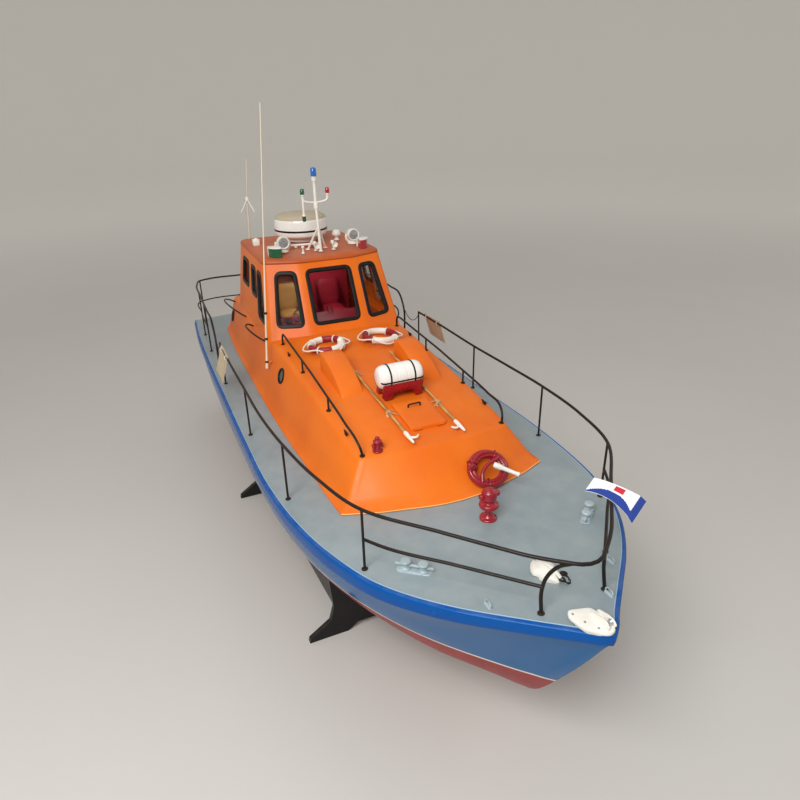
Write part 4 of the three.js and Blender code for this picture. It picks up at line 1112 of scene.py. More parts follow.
def make_liferaft():
    """Canister turned about Y with rounded ends and moulded steps, two straps that stand proud of
    it and a belt along its lower half. The cradle is a plate with two splayed feet, hollowed by
    the canister."""
    middle = np.array((RAFT_X, 0, on_top(RAFT_X, 0) + 22.5))
    z = middle[2]
    half = [(0, 27), (6, 26.8), (9.5, 26), (11.4, 24.8), (12.8, 22.8), (13.7, 20), (14, 17.5), (14, 17.0), (14, 7.0),
            (14, 6.4), (13.8, 6.1), (13.8, 5.1), (14, 4.8), (14, 4.2)]
    put("liferaft_shell", turned(half + [(r, -h) for r, h in half[::-1]], middle, "y", 64), RAFT_WHITE,
        "liferaft_canister", "white", 50)
    loop = ring(RAFT_R + 0.2, 48)
    straps = [sweep(middle + np.column_stack([loop[:, 0], y + 0 * loop[:, 0], loop[:, 1]]), ring(1.0, 10, 0.45),
                    closed=True, up=(0, 1, 0)) for y in (-14.5, 14.5)]
    low = -2.4
    reach = math.sqrt(RAFT_R**2 - low**2)
    belt = rounded([(-reach, -25.4), (reach, -25.4), (reach, 25.4), (-reach, 25.4)], 5, 6)
    straps.append(sweep(middle + lifted(belt, low), ring(1.0, 10, 0.6), closed=True, up=(0, 0, 1)))
    put("liferaft_straps", straps, RUBBER)
    foot = on_top(RAFT_X, 18) - z
    right = [(25, -3.5), (24, -11), (22, -15.5), (23.5, foot), (14, foot), (12, -15.5)]
    outline = right + [(-y, h) for y, h in right[::-1]]
    plate = prism(rounded([(y, z + h) for y, h in outline], 1.2, 3), "yz", RAFT_X - 13.5, RAFT_X + 13.5, 0, 0.8)
    chock = put("liferaft_chock", plate, GEAR_RED, "liferaft_cradle", "gear_red", 35)
    hollow = RAFT_R + 0.25
    bed = turned([(0, -40), (hollow, -40), (hollow, 40), (0, 40)], middle, "y", 64)
    arch = rounded([(RAFT_X - 7, 200), (RAFT_X + 7, 200), (RAFT_X + 5, z - 17), (RAFT_X - 5, z - 17)], 2, 3)
    carve(chock, [bed, prism(arch, "xz", -40, 40)], 35)


def make_hatch():
    """Hatch: a raised rounded lid on the cambered top, with two hinges and a wire handle."""
    lid = slab_on(rounded([(152, -21), (205, -21), (205, 21), (152, 21)], 3), -1.0, 4.2, 1.2, coach_top)
    put("fore_hatch_lid", lid, ORANGE, "fore_hatch", "orange", 40)
    z = on_top(168, 0) + 4
    half = [(168, -7, z - 0.5), (168.5, -7, z + 3), (170.5, -5.5, z + 4.6)]
    wire = half + [(171, 0, z + 4.9)] + [(x, -y, h) for x, y, h in half[::-1]]
    hinges = [tube([(205.6, y - 4, on_top(205, y) + 1.8), (205.6, y + 4, on_top(205, y) + 1.8)], 0.9, 10, mat=1)
              for y in (-13.0, 13.0)]
    put("hatch_handle_and_hinges", [tube(smooth_path(wire, 30), 0.9, 10)] + hinges, [RAIL_BLACK, ORANGE])


def make_boat_hooks():
    """Varnished shafts in two chocks, each with a white ferrule, a spike and a hook, tied down by
    three turns of cord and its two ends."""
    wrap = 2.3
    a = np.array((30.0, 31.0, on_top(30, 31) + 4))
    b = np.array((211.0, 29.0, on_top(208, 29) + 3.6))
    head = b + [(-3, 0, 0), (0, 0, 0), (4, 0, -0.4), (10, 0, -0.8), (17, 0, -1.3), (18.4, 0, -1.4)]
    hook = b + [(6, 0, -0.6), (9.5, -3.5, -0.4), (10.5, -7, 0), (7.5, -9.8, 0.4)]
    parts = [tube(even_path([a, b], 30), 1.65, 14), tube(head, (2.1, 2.4, 2.4, 1.9, 1.2, 0.5), 14, mat=1),
             tube(smooth_path(hook, 16), np.linspace(1.6, 0.9, 16), 10, mat=1)]
    for x in (70.0, 168.0):
        y = 30.75 - 0.0057 * (x - 30)
        z = float(np.interp(x, (a[0], b[0]), (a[2], b[2])))
        parts.append(block((x - 2.2, x + 2.2), (y - 2.4, y + 2.4), (on_top(x, 33) - 0.8, z - 0.8), 0.5, 0.8, mat=1))
        t = np.linspace(0, 1, 70)
        turns = np.column_stack([x - 2.6 + 5.2 * t, y + wrap * np.cos(3 * TAU * t), z + wrap * np.sin(3 * TAU * t)])
        parts.append(tube(turns, 0.55, 8, mat=2))
        for sign in (-1, 1):
            end = [(x + sign * 2.4, y, z + 2.4), (x + sign * 4, y - 4, z + 1.2),
                   (x + sign * 5.0, y - 9, on_top(x, y - 9) + 0.8)]
            parts.append(tube(smooth_path(end, 12), 0.5, 8, mat=2))
    put_pair("boat_hook_and_lashings_{}", parts, [WOOD, WHITE, ROPE_STRAW], "boat_hook_{}", slot="wood")


def make_life_rings():
    """Ring with an oval section in four bands, white and red by turns, and a grab rope that
    swings out between its four ties: radius 28.4 + 3 cos 4a. The starboard ring holds a lamp."""
    x, y, z = -20.0, 38.0, on_top(-20, 20) + 5.6
    a, c = circle(64), circle(24)[:, None]
    body = sweep(lifted(ring(RING_R, 64), 0), ring(4.3, 18, 0.9), closed=True, up=(0, 0, 1))
    loop = ring(1, 64) * (28.4 + 3.0 * np.cos(4 * a))[:, None]
    gear = [rope(lifted(loop, 0.2 - 1.6 * np.cos(4 * a)), 1.15, 3, 5.0, 12, closed=True, mat=2)]
    for b in circle(4) + TAU / 8:
        spoke = np.array((math.cos(b), math.sin(b), 0))
        away = 4.7 * np.cos(c) * spoke + 4.3 * np.sin(c) * (0, 0, 1)
        flat = away * (1, 1, 0) + (0, 0, 0.001)
        gear.append(sweep(RING_R * spoke + away, ring(1.0, 10, 1.8)[:, ::-1] * (0.5, 1.0), closed=True, up=flat, mat=2))
    lamp = turned([(0, -3), (4.2, -3), (4.4, 2.0), (3.8, 2.6), (3.2, 3.4), (2.2, 4.8), (0, 5.4)], sides=28, mat=3)
    for side, word in SIDES:
        bands = np.repeat((np.arange(64) + 8 * (side > 0)) // 16 % 2, 18)
        parts = [shifted(rotated(p, "x", -0.05 * side), (x, side * y, z)) for p in [(*body[:2], bands)] + gear]
        if side < 0:
            parts.append(shifted(lamp, (x + 6, 17.5 - y, z + 4.4)))
        put("life_ring_and_rope_" + word, parts, [RING_WHITE, RING_RED, ROPE_WHITE, WHITE], "life_ring_" + word,
            "ring", 50)


def make_hydrant():
    """Small red fitting on the coachroof: flanged stem, two side caps and a top knob."""
    x, y = 218.0, -63.5
    z = on_top(x, y)
    parts = [turned([(0, -0.4), (5.4, -0.4), (5.4, 1.2), (3.2, 1.6), (3.0, 8.5), (4.6, 9.4), (4.6, 11.4), (2.8, 12.2),
                     (2.2, 15.4), (0, 15.6)], (x, y, z), sides=32, soft=(3, 0.5))]
    for s in (-1, 1):
        cap = [(r, s * h) for r, h in ((0, 5.4), (2.6, 5.4), (2.8, 4.4), (2.2, 3.8), (2.0, 0), (0, 0))]
        parts.append(turned(cap, (x, y, z + 6), "y", 24))
    put("red_hydrant", parts, GEAR_RED, "hydrant", "gear_red")


make_portholes()
put_pair("coachroof_cleats_{}", cleat(-30, 86.5) + cleat(178, 82.5), RAIL_BLACK)
make_coachroof_rails()
make_fairings()
make_liferaft()
make_hatch()
make_boat_hooks()
make_life_rings()
make_hydrant()


# Foredeck gear
def make_standpipe():
    """Red deck hydrant: one turned post with a foot, a slim neck, a round flange and a body with
    two capped outlets. Bolt heads stand on the foot."""
    x, y = 319.0, 4.0
    z = on_deck(x, y)
    parts = [turned([(0, -0.4), (8.2, -0.4), (8.2, 1.8), (5.4, 2.8), (3.6, 5.4), (3.4, 10.6), (4.6, 12.0), (8.8, 13.2),
                     (9.4, 15.0), (8.8, 17.0), (5.6, 18.4), (5.4, 20.6), (7.0, 21.8), (7.4, 27.4), (6.4, 29.8),
                     (3.4, 32.4), (0, 33.2)], (x, y, z), sides=44, soft=(3, 0.7))]
    parts += [turned([(0, 1.8), (0.9, 1.8), (0.9, 2.7), (0, 2.9)], (x + 6.6 * math.cos(a), y + 6.6 * math.sin(a), z),
                     sides=6) for a in circle(6) + 0.3]
    cap = turned([(0, 10), (2.6, 10), (3.0, 9.2), (3.0, 7.8), (2.4, 7.0), (2.2, 0), (0, 0)], (x, y, z + 25.6), "y", 28,
                 soft=(2, 0.3))
    put("red_standpipe", parts + [cap, rotated(cap, "z", math.pi, (x, y, 0))], GEAR_RED, "standpipe", "gear_red", 45)


def make_hose():
    """Five turns of hose wound on an oval that leans on the coachroof front: the turn's own centre
    goes twice round a 2.7 mm circle in five turns. One end crosses the middle. Three ties, a
    coupling and a white branch pipe."""
    middle = np.array((264.6, 36.0, 214.4))
    wide, tall, sway, hose = 18.0, 15.6, 2.7, 2.05
    lean, out = np.array((-0.725, 0, 0.688)), np.array((0.688, 0, 0.725))

    def spot(angle, across=1.0, along=1.0):
        """across * cos a to port, plus along * sin a up the lean."""
        return np.multiply.outer(across * np.cos(angle), (0, 1, 0)) + np.multiply.outer(along * np.sin(angle), lean)

    t = np.linspace(0, 5 * TAU, 300, endpoint=False)
    turn = (t * 2 / 5 + 0.6)[:, None]
    wind = sway * (np.cos(turn) * spot(t) + np.sin(turn) * out)
    parts = [tube(middle + spot(t, wide, tall) + wind, hose, closed=True)]
    # angle, share of the radius, height over the coil
    cross = [middle + spot(b) * 17.0 * f + out * h for b, f, h in
             ((0.5, 1.0, 3.2), (0.7, 0.55, 4.6), (2.2, 0.2, 4.4), (3.5, 0.6, 4.8), (3.9, 1.0, 3.4))]
    parts.append(tube(smooth_path(cross, 30), 2.0))
    c = circle(24)[:, None]
    parts += [tube(middle + spot(a, wide, tall) + 5.2 * (np.cos(c) * spot(a) + np.sin(c) * out), 0.6, 8, closed=True)
              for a in (0.9, 2.5, 4.4)]
    base, tip = middle + (6.0, 3.0, 7.5), np.array((289.0, 57.0, 215.5))
    s = np.array((0, 0.04, 0.3, 0.34, 0.9, 0.93, 1.0))[:, None]
    parts.append(tube(base + (tip - base) * s, (2.7, 3.0, 2.9, 2.3, 1.9, 2.4, 2.4), 20, mat=1))
    parts.append(turned([(0, 0), (3.6, 0), (3.6, 2.4), (2.4, 3.0), (2.4, 5.2), (4.4, 6.0), (4.4, 8.6), (0, 8.6)],
                        middle + (-6.0, -17.5, 6.0), "x", 24, soft=(2, 0.4)))
    put("red_hose_coil", parts, [GEAR_RED, WHITE], "hose_coil", "gear_red", 60)


def make_bollards():
    """Twin posts with mushroom caps on a rounded plate, one long cross bar through both, the whole
    turned to lie along the deck edge."""
    z = on_deck(355, 93)
    parts = [block((340, 370), (83.4, 92.6), (z - 2.4, z + 1.5), 0.7, 3.5)]
    mushroom = [(0, 0), (4.6, 0), (4.2, 1.6), (3.0, 2.6), (2.9, 5.6), (4.5, 6.6), (4.7, 7.6), (3.8, 8.8), (0, 9.2)]
    parts += [turned(mushroom, (x, 88, z + 1.0), sides=32, soft=(3, 0.6)) for x in (347.5, 362.5)]
    parts.append(tube([(x, 88, z + 5.2) for x in (338.5, 339.3, 370.7, 371.5)], (0.9, 1.4, 1.4, 0.9), 14))
    parts += [turned([(0, 1.2), (1.2, 1.2), (1.0, 1.9), (0, 2.1)], (x, y, z), sides=12)
              for x in (342, 368) for y in (85.2, 90.8)]
    parts = [rotated(p, "z", -math.radians(49), (355, 88, 0)) for p in parts]
    put_pair("twin_bollard_{}", parts, GREY_METAL, "bollard_{}", slot="grey_metal", sharp=45)


def chain(line, link, wire, mat):
    """Oval links along a line, each turned a quarter from the last."""
    spots = even_path(line, max(2, int(lengths(line)[-1] / (link * 0.78))))
    first, second = path_axes(spots)
    along = np.cross(first, second)
    a = circle(12)[:, None]
    return [tube(p + np.cos(a) * along[k] * link * 0.5 + np.sin(a) * (first[k] if k % 2 else second[k]) * link * 0.3,
                 wire, 6, closed=True, mat=mat) for k, p in enumerate(spots)]


def make_anchor():
    """Stowed anchor: a broad ridged blade with notched, swept sides that folds down along its
    middle, a short flat shank with a shackle at its end, and a short chain led into a deck pipe."""
    z = on_deck(414, 0)
    rows = []
    # x, half width, height of the ridge
    for x, wide, ridge in ((396, 1.5, 0.6), (398.5, 5.4, 2.6), (402, 8.4, 4.4), (406, 10.4, 6.0), (410, 11.0, 7.0),
                           (413, 8.4, 7.4), (416, 9.4, 7.0), (419.5, 8.0, 6.0), (423, 4.6, 4.4), (426.5, 1.0, 2.4)):
        y = np.linspace(-1, 1, 15)
        top = ridge * (1 - np.abs(y)) ** 0.7 + 1.2 + 0.5 * np.cos(y * 9) * (ridge > 3)
        flat = np.column_stack([x - 2.4 * np.abs(y), 2 + wide * y])
        rows.append(np.vstack([lifted(flat, z + top), lifted(flat, z - 0.2)[::-1]]))
    shank = [(404.0, 2, z + 5.6), (410, 2, z + 8.6), (416, 2.6, z + 9.2), (421, 3.6, z + 7.6), (424, 4.6, z + 5.4)]
    shackle = lifted(ring(1, 20) * (2.4, 1.9) + (425.2, 5.2), z + 4.8)
    line = smooth_path([(427.2, 6.0, z + 4.4), (428.6, 8.4, z + 2.4), (427.6, 11.4, z + 0.9), (423.0, 13.6, z + 0.8),
                        (418.0, 13.8, z + 0.5)], 30)
    pipe = turned([(0, -0.6), (3.2, -0.6), (3.2, 0.5), (2.2, 1.0), (0, 0.6)], (416.5, 13.8, z), mat=1)
    put("stowed_anchor_and_chain", [loft(rows), sweep(smooth_path(shank, 20), ring(1.7, 12, 0.7)),
                                    tube(shackle, 0.7, 8, closed=True, mat=1), pipe] + chain(line, 2.4, 0.4, 1),
        [WHITE, RAIL_BLACK], "anchor", "white", 40)


def make_stemhead():
    """White stemhead plate with rounded rims and countersunk bolts, two cheeks and a grooved
    roller between them."""
    flat = rounded([(459, -17), (465, -20.5), (478, -17.5), (487.5, -8.5), (490, -3.5), (488, 2.2), (480, 3), (464, 0)],
                   3.4)
    cheek = rounded([(468, 219), (486, 219), (488, 222.6), (484, 225.4), (478, 224.8), (469, 221.6)], 1.6, 4)
    base = flat.mean(0) + (flat - flat.mean(0)) * 0.7
    parts = [prism(flat, "xy", 217.0, 220.2, 0, 1.1), prism(base, "xy", 212.0, 217.4)]
    parts += [prism(cheek, "xz", *limits, 0, 0.4) for limits in ((-4.6, -3.2), (1.2, 2.6))]
    groove = [(0, -2.2), (2.6, -2.2), (2.6, -1.8), (1.5, -0.7), (1.5, 0.7), (2.6, 1.8), (2.6, 2.2), (0, 2.2)]
    parts.append(turned(groove, (483.0, -1, 222.4), "y", 28, 1, (2, 0.3)))
    parts += [turned([(0, 219.8), (1.1, 219.8), (0.9, 220.6), (0, 220.7)], (x, y, 0), sides=14, mat=1)
              for x, y in ((464.5, -16.5), (474, -13.5), (482.5, -8.5))]
    put("stemhead_plate_and_roller", parts, [WHITE, LAMP_SILVER], "stemhead_roller", "white", 40)


def make_deck_fittings():
    """Small fairleads at the deck edge near the bow, two to port and one to starboard: two curled
    horns on a plate."""
    fairleads = []
    for x, y in ((420, 58), (452, 28)):
        z = on_deck(x, y)
        parts = [block((x - 4.4, x + 4.4), (y - 1.4, y + 1.4), (z - 0.8, z + 0.6), 0.3, 1.2)]
        for sign in (-1, 1):
            horn = [(x + sign * reach, y, z + rise) for reach, rise in ((3.4, 0.4), (4.0, 2.8), (2.2, 4.4), (0.6, 4.6))]
            parts.append(tube(smooth_path(horn, 12), np.linspace(0.7, 0.4, 12), 10))
        fairleads.append(parts)
    put("bow_fairleads_port", fairleads[0] + fairleads[1], GREY_METAL)
    put("bow_fairleads_starboard", [sided(p, -1) for p in fairleads[0]], GREY_METAL)


# Guard rails and cards
def post(x, y, z, inside, radius=1.15):
    """Post from the deck to a rail, its foot at least inside the deck's edge, with a foot plate."""
    foot_y = min(y, float(station(x)[0, 0]) - inside)
    foot = on_deck(x, foot_y)
    return [tube([(x, foot_y, foot), (x, y, z)], radius), foot_plate(x, foot_y, foot - 0.1)]


def make_guard_rails():
    """Black tube through both quarters and round the bow, posts in foot plates, a middle rail at
    the bow that ends in a leg curving from the top rail to the deck, and the stern rails."""
    top = np.array(RAIL_TOP, float)
    middle = smooth_path([(332, 123, 228), (350, 112, 229), (395, 72, 231), (443, 28, 232)], 30)
    foot = on_deck(446, 29)
    leg = smooth_path([(456, 15, 258), (449, 20, 252), (444, 26, 240), (443, 28, 229), (446, 29, foot)], 26)
    half = [tube(middle, 1.4), tube(leg, 1.45), foot_plate(446, 29, foot - 0.2)]
    for x, y, z in ((-150, 157, 246), (27, 157, 246), (190, 152, 252), (332, 123, 257)):
        half += post(x, y, z, 6)
    parts = [tube(smooth_path(np.vstack([top, (top * (1, -1, 1))[-2::-1]]), 220), 1.5)]
    parts += [sided(p, side) for side, _ in SIDES for p in half]
    put("guard_rail_black", parts, RAIL_BLACK, "guard_rail_forward", "black_wire", 50)
    z, foot = STERN_RAIL_Z, on_deck(-206, 156)
    corner = ((-466, 140), (-474, 124), (-476, 60), (-476, 6))
    top = [(-206, 156, foot), (-207, 156, 240), (-222, 156, 258), (-262, 156, z), (-360, 153, z), (-440, 148, z)]
    parts = [tube(smooth_path(top + [(x, y, z) for x, y in corner], 110), 1.5),
             tube(smooth_path(lifted(((-300, 155), (-390, 152)) + corner, STERN_WIRE_Z), 70), 1.15, 10),
             foot_plate(-206, 156, foot - 0.1)]
    for x, y in ((-300, 155), (-390, 152), (-466, 140), (-476, 60), (-476, 6)):
        parts += post(x, y, z, 5)
    put_pair("stern_rail_black_{}", parts, RAIL_BLACK, "stern_rail_{}", slot="black_wire", sharp=50)


def card(corners, thick, curl, mats, rows, cols, back, arch=0.0, fold=0.0):
    """Thin card: the four corners blended both ways, bowed by curl * 4 u (1 - u), given a
    thickness along its normal. arch draws the lower edge up by arch * 4 u (1 - u) and fold bends
    the last tenth down. mats(u, v) names the material of each face of the front, back the rest's."""
    a, b, c, d = (np.asarray(p, float) for p in corners)
    u = np.linspace(0, 1, cols)[:, None, None]
    v = np.linspace(0, 1, rows)[None, :, None]
    flat = (1 - u) * (1 - v) * a + u * (1 - v) * b + u * v * c + (1 - u) * v * d
    normal = unit(np.cross(b - a, d - a))
    flat = flat + normal * (curl * 4 * u * (1 - u) - fold * np.clip((u - 0.9) / 0.1, 0, 1))
    flat = flat + unit(d - a) * (arch * 4 * u * (1 - u) * (1 - v))
    front = quads(cols, rows)
    count = cols * rows
    index = np.arange(count).reshape(cols, rows)
    rim = np.r_[index[:-1, 0], index[-1, :-1], index[:0:-1, -1], index[0, :0:-1]]
    after = np.roll(rim, -1)
    edge = np.stack([rim, after, after + count, rim + count], -1)
    faces = np.vstack([front, front[:, ::-1] + count, edge]).tolist()
    mid_u, mid_v = ((np.arange(size - 1) + 0.5) / (size - 1) for size in (cols, rows))
    face_mats = mats(*np.meshgrid(mid_u, mid_v, indexing="ij")).ravel()
    points = np.stack([flat, flat - normal * thick])
    return points.reshape(-1, 3), faces, np.r_[face_mats, np.full(len(front) + len(edge), back)]


def make_boards():
    """Cards on the rails, blank: two cream side cards tied at the top, and the bow card with a
    white upper strip, a red patch and a blue lower part."""
    corners = [(-130, 157.9, 250.4), (-78, 157.9, 250.4), (-79, 169.2, 214), (-131, 169.2, 214)]
    loop = ring(1, 20) * (2.7, 2.8) + (158.5, 246.0)
    ties = [tube(np.insert(loop, 0, x, axis=1), 0.5, 8, closed=True, mat=1) for x in (-122, -86)]
    put_pair("side_card_{}", [card(corners, 0.8, -0.6, lambda u, v: 0 * u, 10, 12, 0)] + ties, [CARD_BACK, ROPE_WHITE],
             "side_board_{}", slot="board")

    def colours(u, v):
        """Blue below 0.04 + 0.46 * sin(pi u)^0.8 and in the last tenth, red in a patch, else white."""
        blue = (v < 0.04 + 0.46 * np.sin(u * math.pi) ** 0.8) | (u > 0.9)
        red = (u > 0.46) & (u < 0.64) & (v > 0.58) & (v < 0.93)
        return np.where(blue, 2, np.where(red, 1, 0))

    corners = [(391, 48.4, 260.6), (438, 54.0, 259.8), (425, 79.8, 264.0), (384.2, 62.8, 265.2)]
    put("bow_card", card(corners, 0.8, 2.4, colours, 26, 60, 0, arch=4.4, fold=2.6),
        [CARD_WHITE, CARD_RED, CARD_BLUE], "bow_board", "board")


make_standpipe()
make_hose()
make_bollards()
make_anchor()
make_stemhead()
make_deck_fittings()
make_guard_rails()
make_boards()


# Roof gear
def make_radar():
    """Radar drum: turned with upright sides, a black band low on them, a tight rim and a beige,
    slightly crowned lid, on a narrower pedestal."""
    profile = softened([(0, 0), (24, 0), (24, 4.5), (36, 7.5), (39.6, 10.5), (40.3, 14.5), (40.4, 16.6), (40.4, 19.0),
                        (40.3, 24), (39.9, 31.0), (39.3, 33.4), (37.2, 36.6), (33, 39.2), (24, 40.6), (12, 41.2),
                        (0, 41.4)], 3, 0.8)
    wide, height = ((profile[:-1] + profile[1:]) / 2).T
    kind = ((height > 16.5) & (height < 19.1) & (wide > 38)) * 1 + (height > 33.4) * 2
    put("radar_drum", turned(profile, (-240, 0, ROOF_ON), sides=72, mat=kind), [RAFT_WHITE, RUBBER, DRUM_LID],
        "radar_dome", "white", 60)


def lantern(x, y, low, high, radius, colour):
    """Small lantern: a white base under a coloured lens and cap."""
    # share of the radius, share of the height
    steps = ((0, 0), (0.7, 0), (0.9, 0.1), (0.9, 0.22), (1, 0.24), (1.02, 0.5), (1, 0.86), (0.8, 0.94), (0.35, 1),
             (0, 1))
    profile = [(radius * wide, low + (high - low) * share) for wide, share in steps]
    return turned(profile, (x, y, 0), sides=24, mat=[0] * 4 + [colour] * 5)


def make_mast():
    """Three legs that meet in a head, a main post, a crossarm that curves up at its ends, and
    lanterns: blue on top, green to starboard with a second one hung below it, red to port."""
    x, z = MAST_X, ROOF_ON
    legs = ((x - 12, 13), (x - 12, -13), (x + 8, 0))
    parts = [foot_plate(*leg, z, 3.4) for leg in legs]
    parts += [tube([(*leg, z), (x + 4.5, 0, z + 34)], (1.7, 1.3)) for leg in legs[:2]]
    parts.append(tube([(*legs[2], z), (x, 0, z + 62)], (2.2, 1.7), 14))
    parts.append(turned([(0, 56), (2.4, 56), (3.2, 58), (3.2, 64), (2.2, 66), (2.0, 92), (3.4, 95), (3.4, 98), (0, 98)],
                        (x, 0, z), sides=24, soft=(2, 0.6)))
    half = [(18, 76), (16.5, 69), (9, 66.4)]
    bow = [(-y, rise) for y, rise in half] + [(0, 66)] + half[::-1]
    arm = [(x, y, z + rise) for y, rise in bow]
    parts += [tube(smooth_path(arm, 44), 1.5), tube([(x, -18, z + 50), (x, -18, z + 76)], 1.6)]
    parts += [lantern(x, y, z + low, z + high, radius, colour) for y, low, high, radius, colour in
              ((0, 96.5, 112, 4.0, 1), (-18, 75, 85, 2.9, 2), (18, 75, 85, 2.9, 3))]
    hung = rotated(lantern(x, -18, 0, 10, 2.7, 2), "x", math.pi, (0, -18, 0))
    parts.append(shifted(hung, (0, 0, z + 51)))
    put("tripod_mast_and_lanterns", parts, [WHITE, LENS_BLUE, LENS_GREEN, LENS_RED], "mast", "white", 50)


def make_searchlights():
    """Round lamp with a stepped rim, a ribbed grey grille and a rounded back, in a fork on a
    turned foot."""
    rim = [(0, -9.4), (5.4, -9.0), (7.6, -6.4), (8.2, 1.2), (8.9, 2.6), (8.9, 5.4), (8.1, 6.3), (7.2, 5.6), (6.8, 4.7)]
    ribs = [(r - step, h) for r in (6.0, 4.8, 3.6, 2.4, 1.4)
            for step, h in ((0, 4.7), (0.1, 5.6), (0.7, 5.6), (0.8, 4.7))]
    for word, x, y in (("port", -170, 59), ("starboard", -162, -49)):
        z, high = ROOF_ON, ROOF_ON + 13.6
        parts = [turned(rim, (x, y, high), "x", 40, 0, (2, 0.7)),
                 turned([(6.8, 4.7)] + ribs + [(0, 5.4)], (x, y, high), "x", 40, 1),
                 turned([(0, 0), (7.6, 0), (7.6, 1.6), (5.2, 2.6), (4.8, 5.0), (0, 5.0)], (x - 1, y, z), sides=28,
                        soft=(2, 0.5))]
        for s in (-1, 1):
            arm = [(0, z + 3.6), (6.8, z + 4.4), (9.4, z + 8), (9.4, high + 1.4)]
            parts.append(sweep(smooth_path([(x - 1, y + s * reach, h) for reach, h in arm], 16), ring(1.3, 10, 1.6)))
        put("searchlight_and_fork_" + word, parts, [WHITE, LAMP_SILVER], "searchlight_" + word, "white", 50)


def make_side_lights():
    """Side lights: a white rounded housing, open forwards and outwards, with a large curved
    coloured lens between its base and its lid: green to starboard, red to port."""
    rim = rounded([(-155, 58), (-133, 58), (-136, 67), (-143, 74), (-155, 74)], 2.0, 4)
    a = np.linspace(-0.1, math.pi / 2 + 0.1, 20)
    lens = np.vstack([np.column_stack([-151 + 16.4 * np.cos(a), 59.4 + 13.8 * np.sin(a)]), [(-151, 59.4)]])
    parts = [prism(rim, "xy", ROOF_Z + 2.0, ROOF_Z + 4.4, 0, 0.5),
             prism(rim, "xy", ROOF_TOP + 10.6, ROOF_TOP + 12.2, 0, 0.5),
             block((-154.6, -151), (58.4, 73.6), (ROOF_Z + 4, ROOF_TOP + 11), 0.3, 0.8),
             prism(lens, "xy", ROOF_Z + 4.2, ROOF_TOP + 10.8, 1)]
    for side, word in SIDES:
        put(f"side_light_{word}_box", [sided(p, side) for p in parts], [WHITE, LENS_RED if side > 0 else LENS_GREEN],
            "side_light_" + word, "white", 40)


def make_roof_fittings():
    """White horns beside the mast, a stubby vent, a position dome and a junction box, as turned
    shapes on the roof, and the small red pad in front of the radar."""
    z = ROOF_ON
    parts = []
    bell = np.array([(0, -6), (1.6, -6), (1.6, -1), (2.0, 3), (3.2, 6), (4.6, 7.4), (4.6, 8.0), (3.4, 7.6), (1.6, 4),
                     (0, 3)])
    for x, y, scale in ((-149, -5, 1.0), (-144, 20, 0.9)):
        parts += [turned(bell * scale, (x, y, z + 8), "x", 26), tube([(x, y, z), (x, y, z + 7)], 1.3, 10),
                  foot_plate(x, y, z, 3.0),
                  turned([(0, 0), (2.6, 0), (2.8, 2.8), (1.6, 3.8), (0, 3.8)], (x - 5 * scale, y, z + 8.6))]
    parts.append(turned([(0, 0), (2.6, 0), (2.2, 1.4), (1.2, 2.4), (1.2, 7), (2.2, 8), (2.2, 10), (0, 11)],
                        (-138, -27, z), soft=(2, 0.4)))
    dome = [(0, 0), (4.4, 0), (4.4, 1.6), (2.2, 2.6), (2.2, 6), (6.4, 7.4), (6.8, 10), (5.6, 13.6), (3, 15.6),
            (0, 16.2)]
    parts.append(turned(dome, (-208, 46, z), sides=32, soft=(3, 0.8)))
    parts.append(block((-248, -236), (-76, -66), (z - 3.4, z + 7), 0.8, 2.4))
    parts.append(turned([(0, 6.6), (2.4, 6.6), (2.2, 8.4), (0, 8.8)], (-242, -71, z)))
    bar = lifted([(-186, -33), (-185.6, -32), (-180, 10), (-179.9, 11)], z + 3.2)
    parts.append(tube(bar, (1.0, 1.7, 1.7, 1.0), 14))
    parts += [turned([(0, 0), (2.4, 0), (2.0, 1.6), (1.4, 3.2), (0, 3.2)], (x, y, z), sides=16)
              for x, y in ((-184.4, -25), (-181.2, 3))]
    put("roof_horns_and_domes", parts, WHITE, sharp=45)
    pad = rounded([(-190, -9), (-172, -9), (-172, 9), (-190, 9)], 1.5, 4)
    put("roof_red_pad", slab_on(pad, -0.4, 0.6, 0.3, lambda x, y: z - 0.2 + 0 * x), GEAR_RED, sharp=45)


def make_aerials():
    """Whip aerial tapering to the top, on an orange stub, with three black clips. The second
    aerial carries four ground radials."""
    whip = even_path([(-69, -109.5, 228), (-81, -96.4, 348), (-99, -74, 553)], 40)
    taper = np.interp(np.linspace(0, 1, 40), (0, 0.03, 0.031, 0.36, 0.361, 1), (1.9, 1.9, 1.35, 1.15, 0.95, 0.6))
    parts = [tube(whip, taper), tube([(-70, -101.6, 236), (-70, -108.4, 236)], 1.6, 14, mat=1)]
    for share in (0.024, 0.12, 0.225):
        clip = [whip[0] + (whip[19] - whip[0]) * s / 0.487 for s in (share, share + 0.008)]
        parts.append(tube(clip, 2.3, 16, mat=2))
    put("whip_aerial_and_clip", parts, [AERIAL, ORANGE, RAIL_BLACK], "whip_aerial", "white")
    rod = even_path([(-298, -70, 356), (-283, -69, 422), (-263, -67, 480)], 30)
    taper = np.interp(np.linspace(0, 1, 30), (0, 0.5, 0.55, 1), (1.5, 1.3, 0.8, 0.6))
    parts = [tube(rod, taper), foot_plate(-298, -70, 356.0, 3.6),
             turned([(0, -3), (2.4, -3), (2.8, 0), (2.4, 3), (0, 3)], (-283, -69, 422), mat=1)]
    parts += [tube([(-283, -69, 422), (-283 + 14 * math.cos(a), -69 + 14 * math.sin(a), 404)], (0.8, 0.6), 8, mat=1)
              for a in circle(4) + 0.5]
    put("ground_plane_aerial_rods", parts, [AERIAL, WHITE], "ground_plane_aerial", "white")


make_radar()
make_mast()
make_searchlights()
make_side_lights()
make_roof_fittings()
make_aerials()


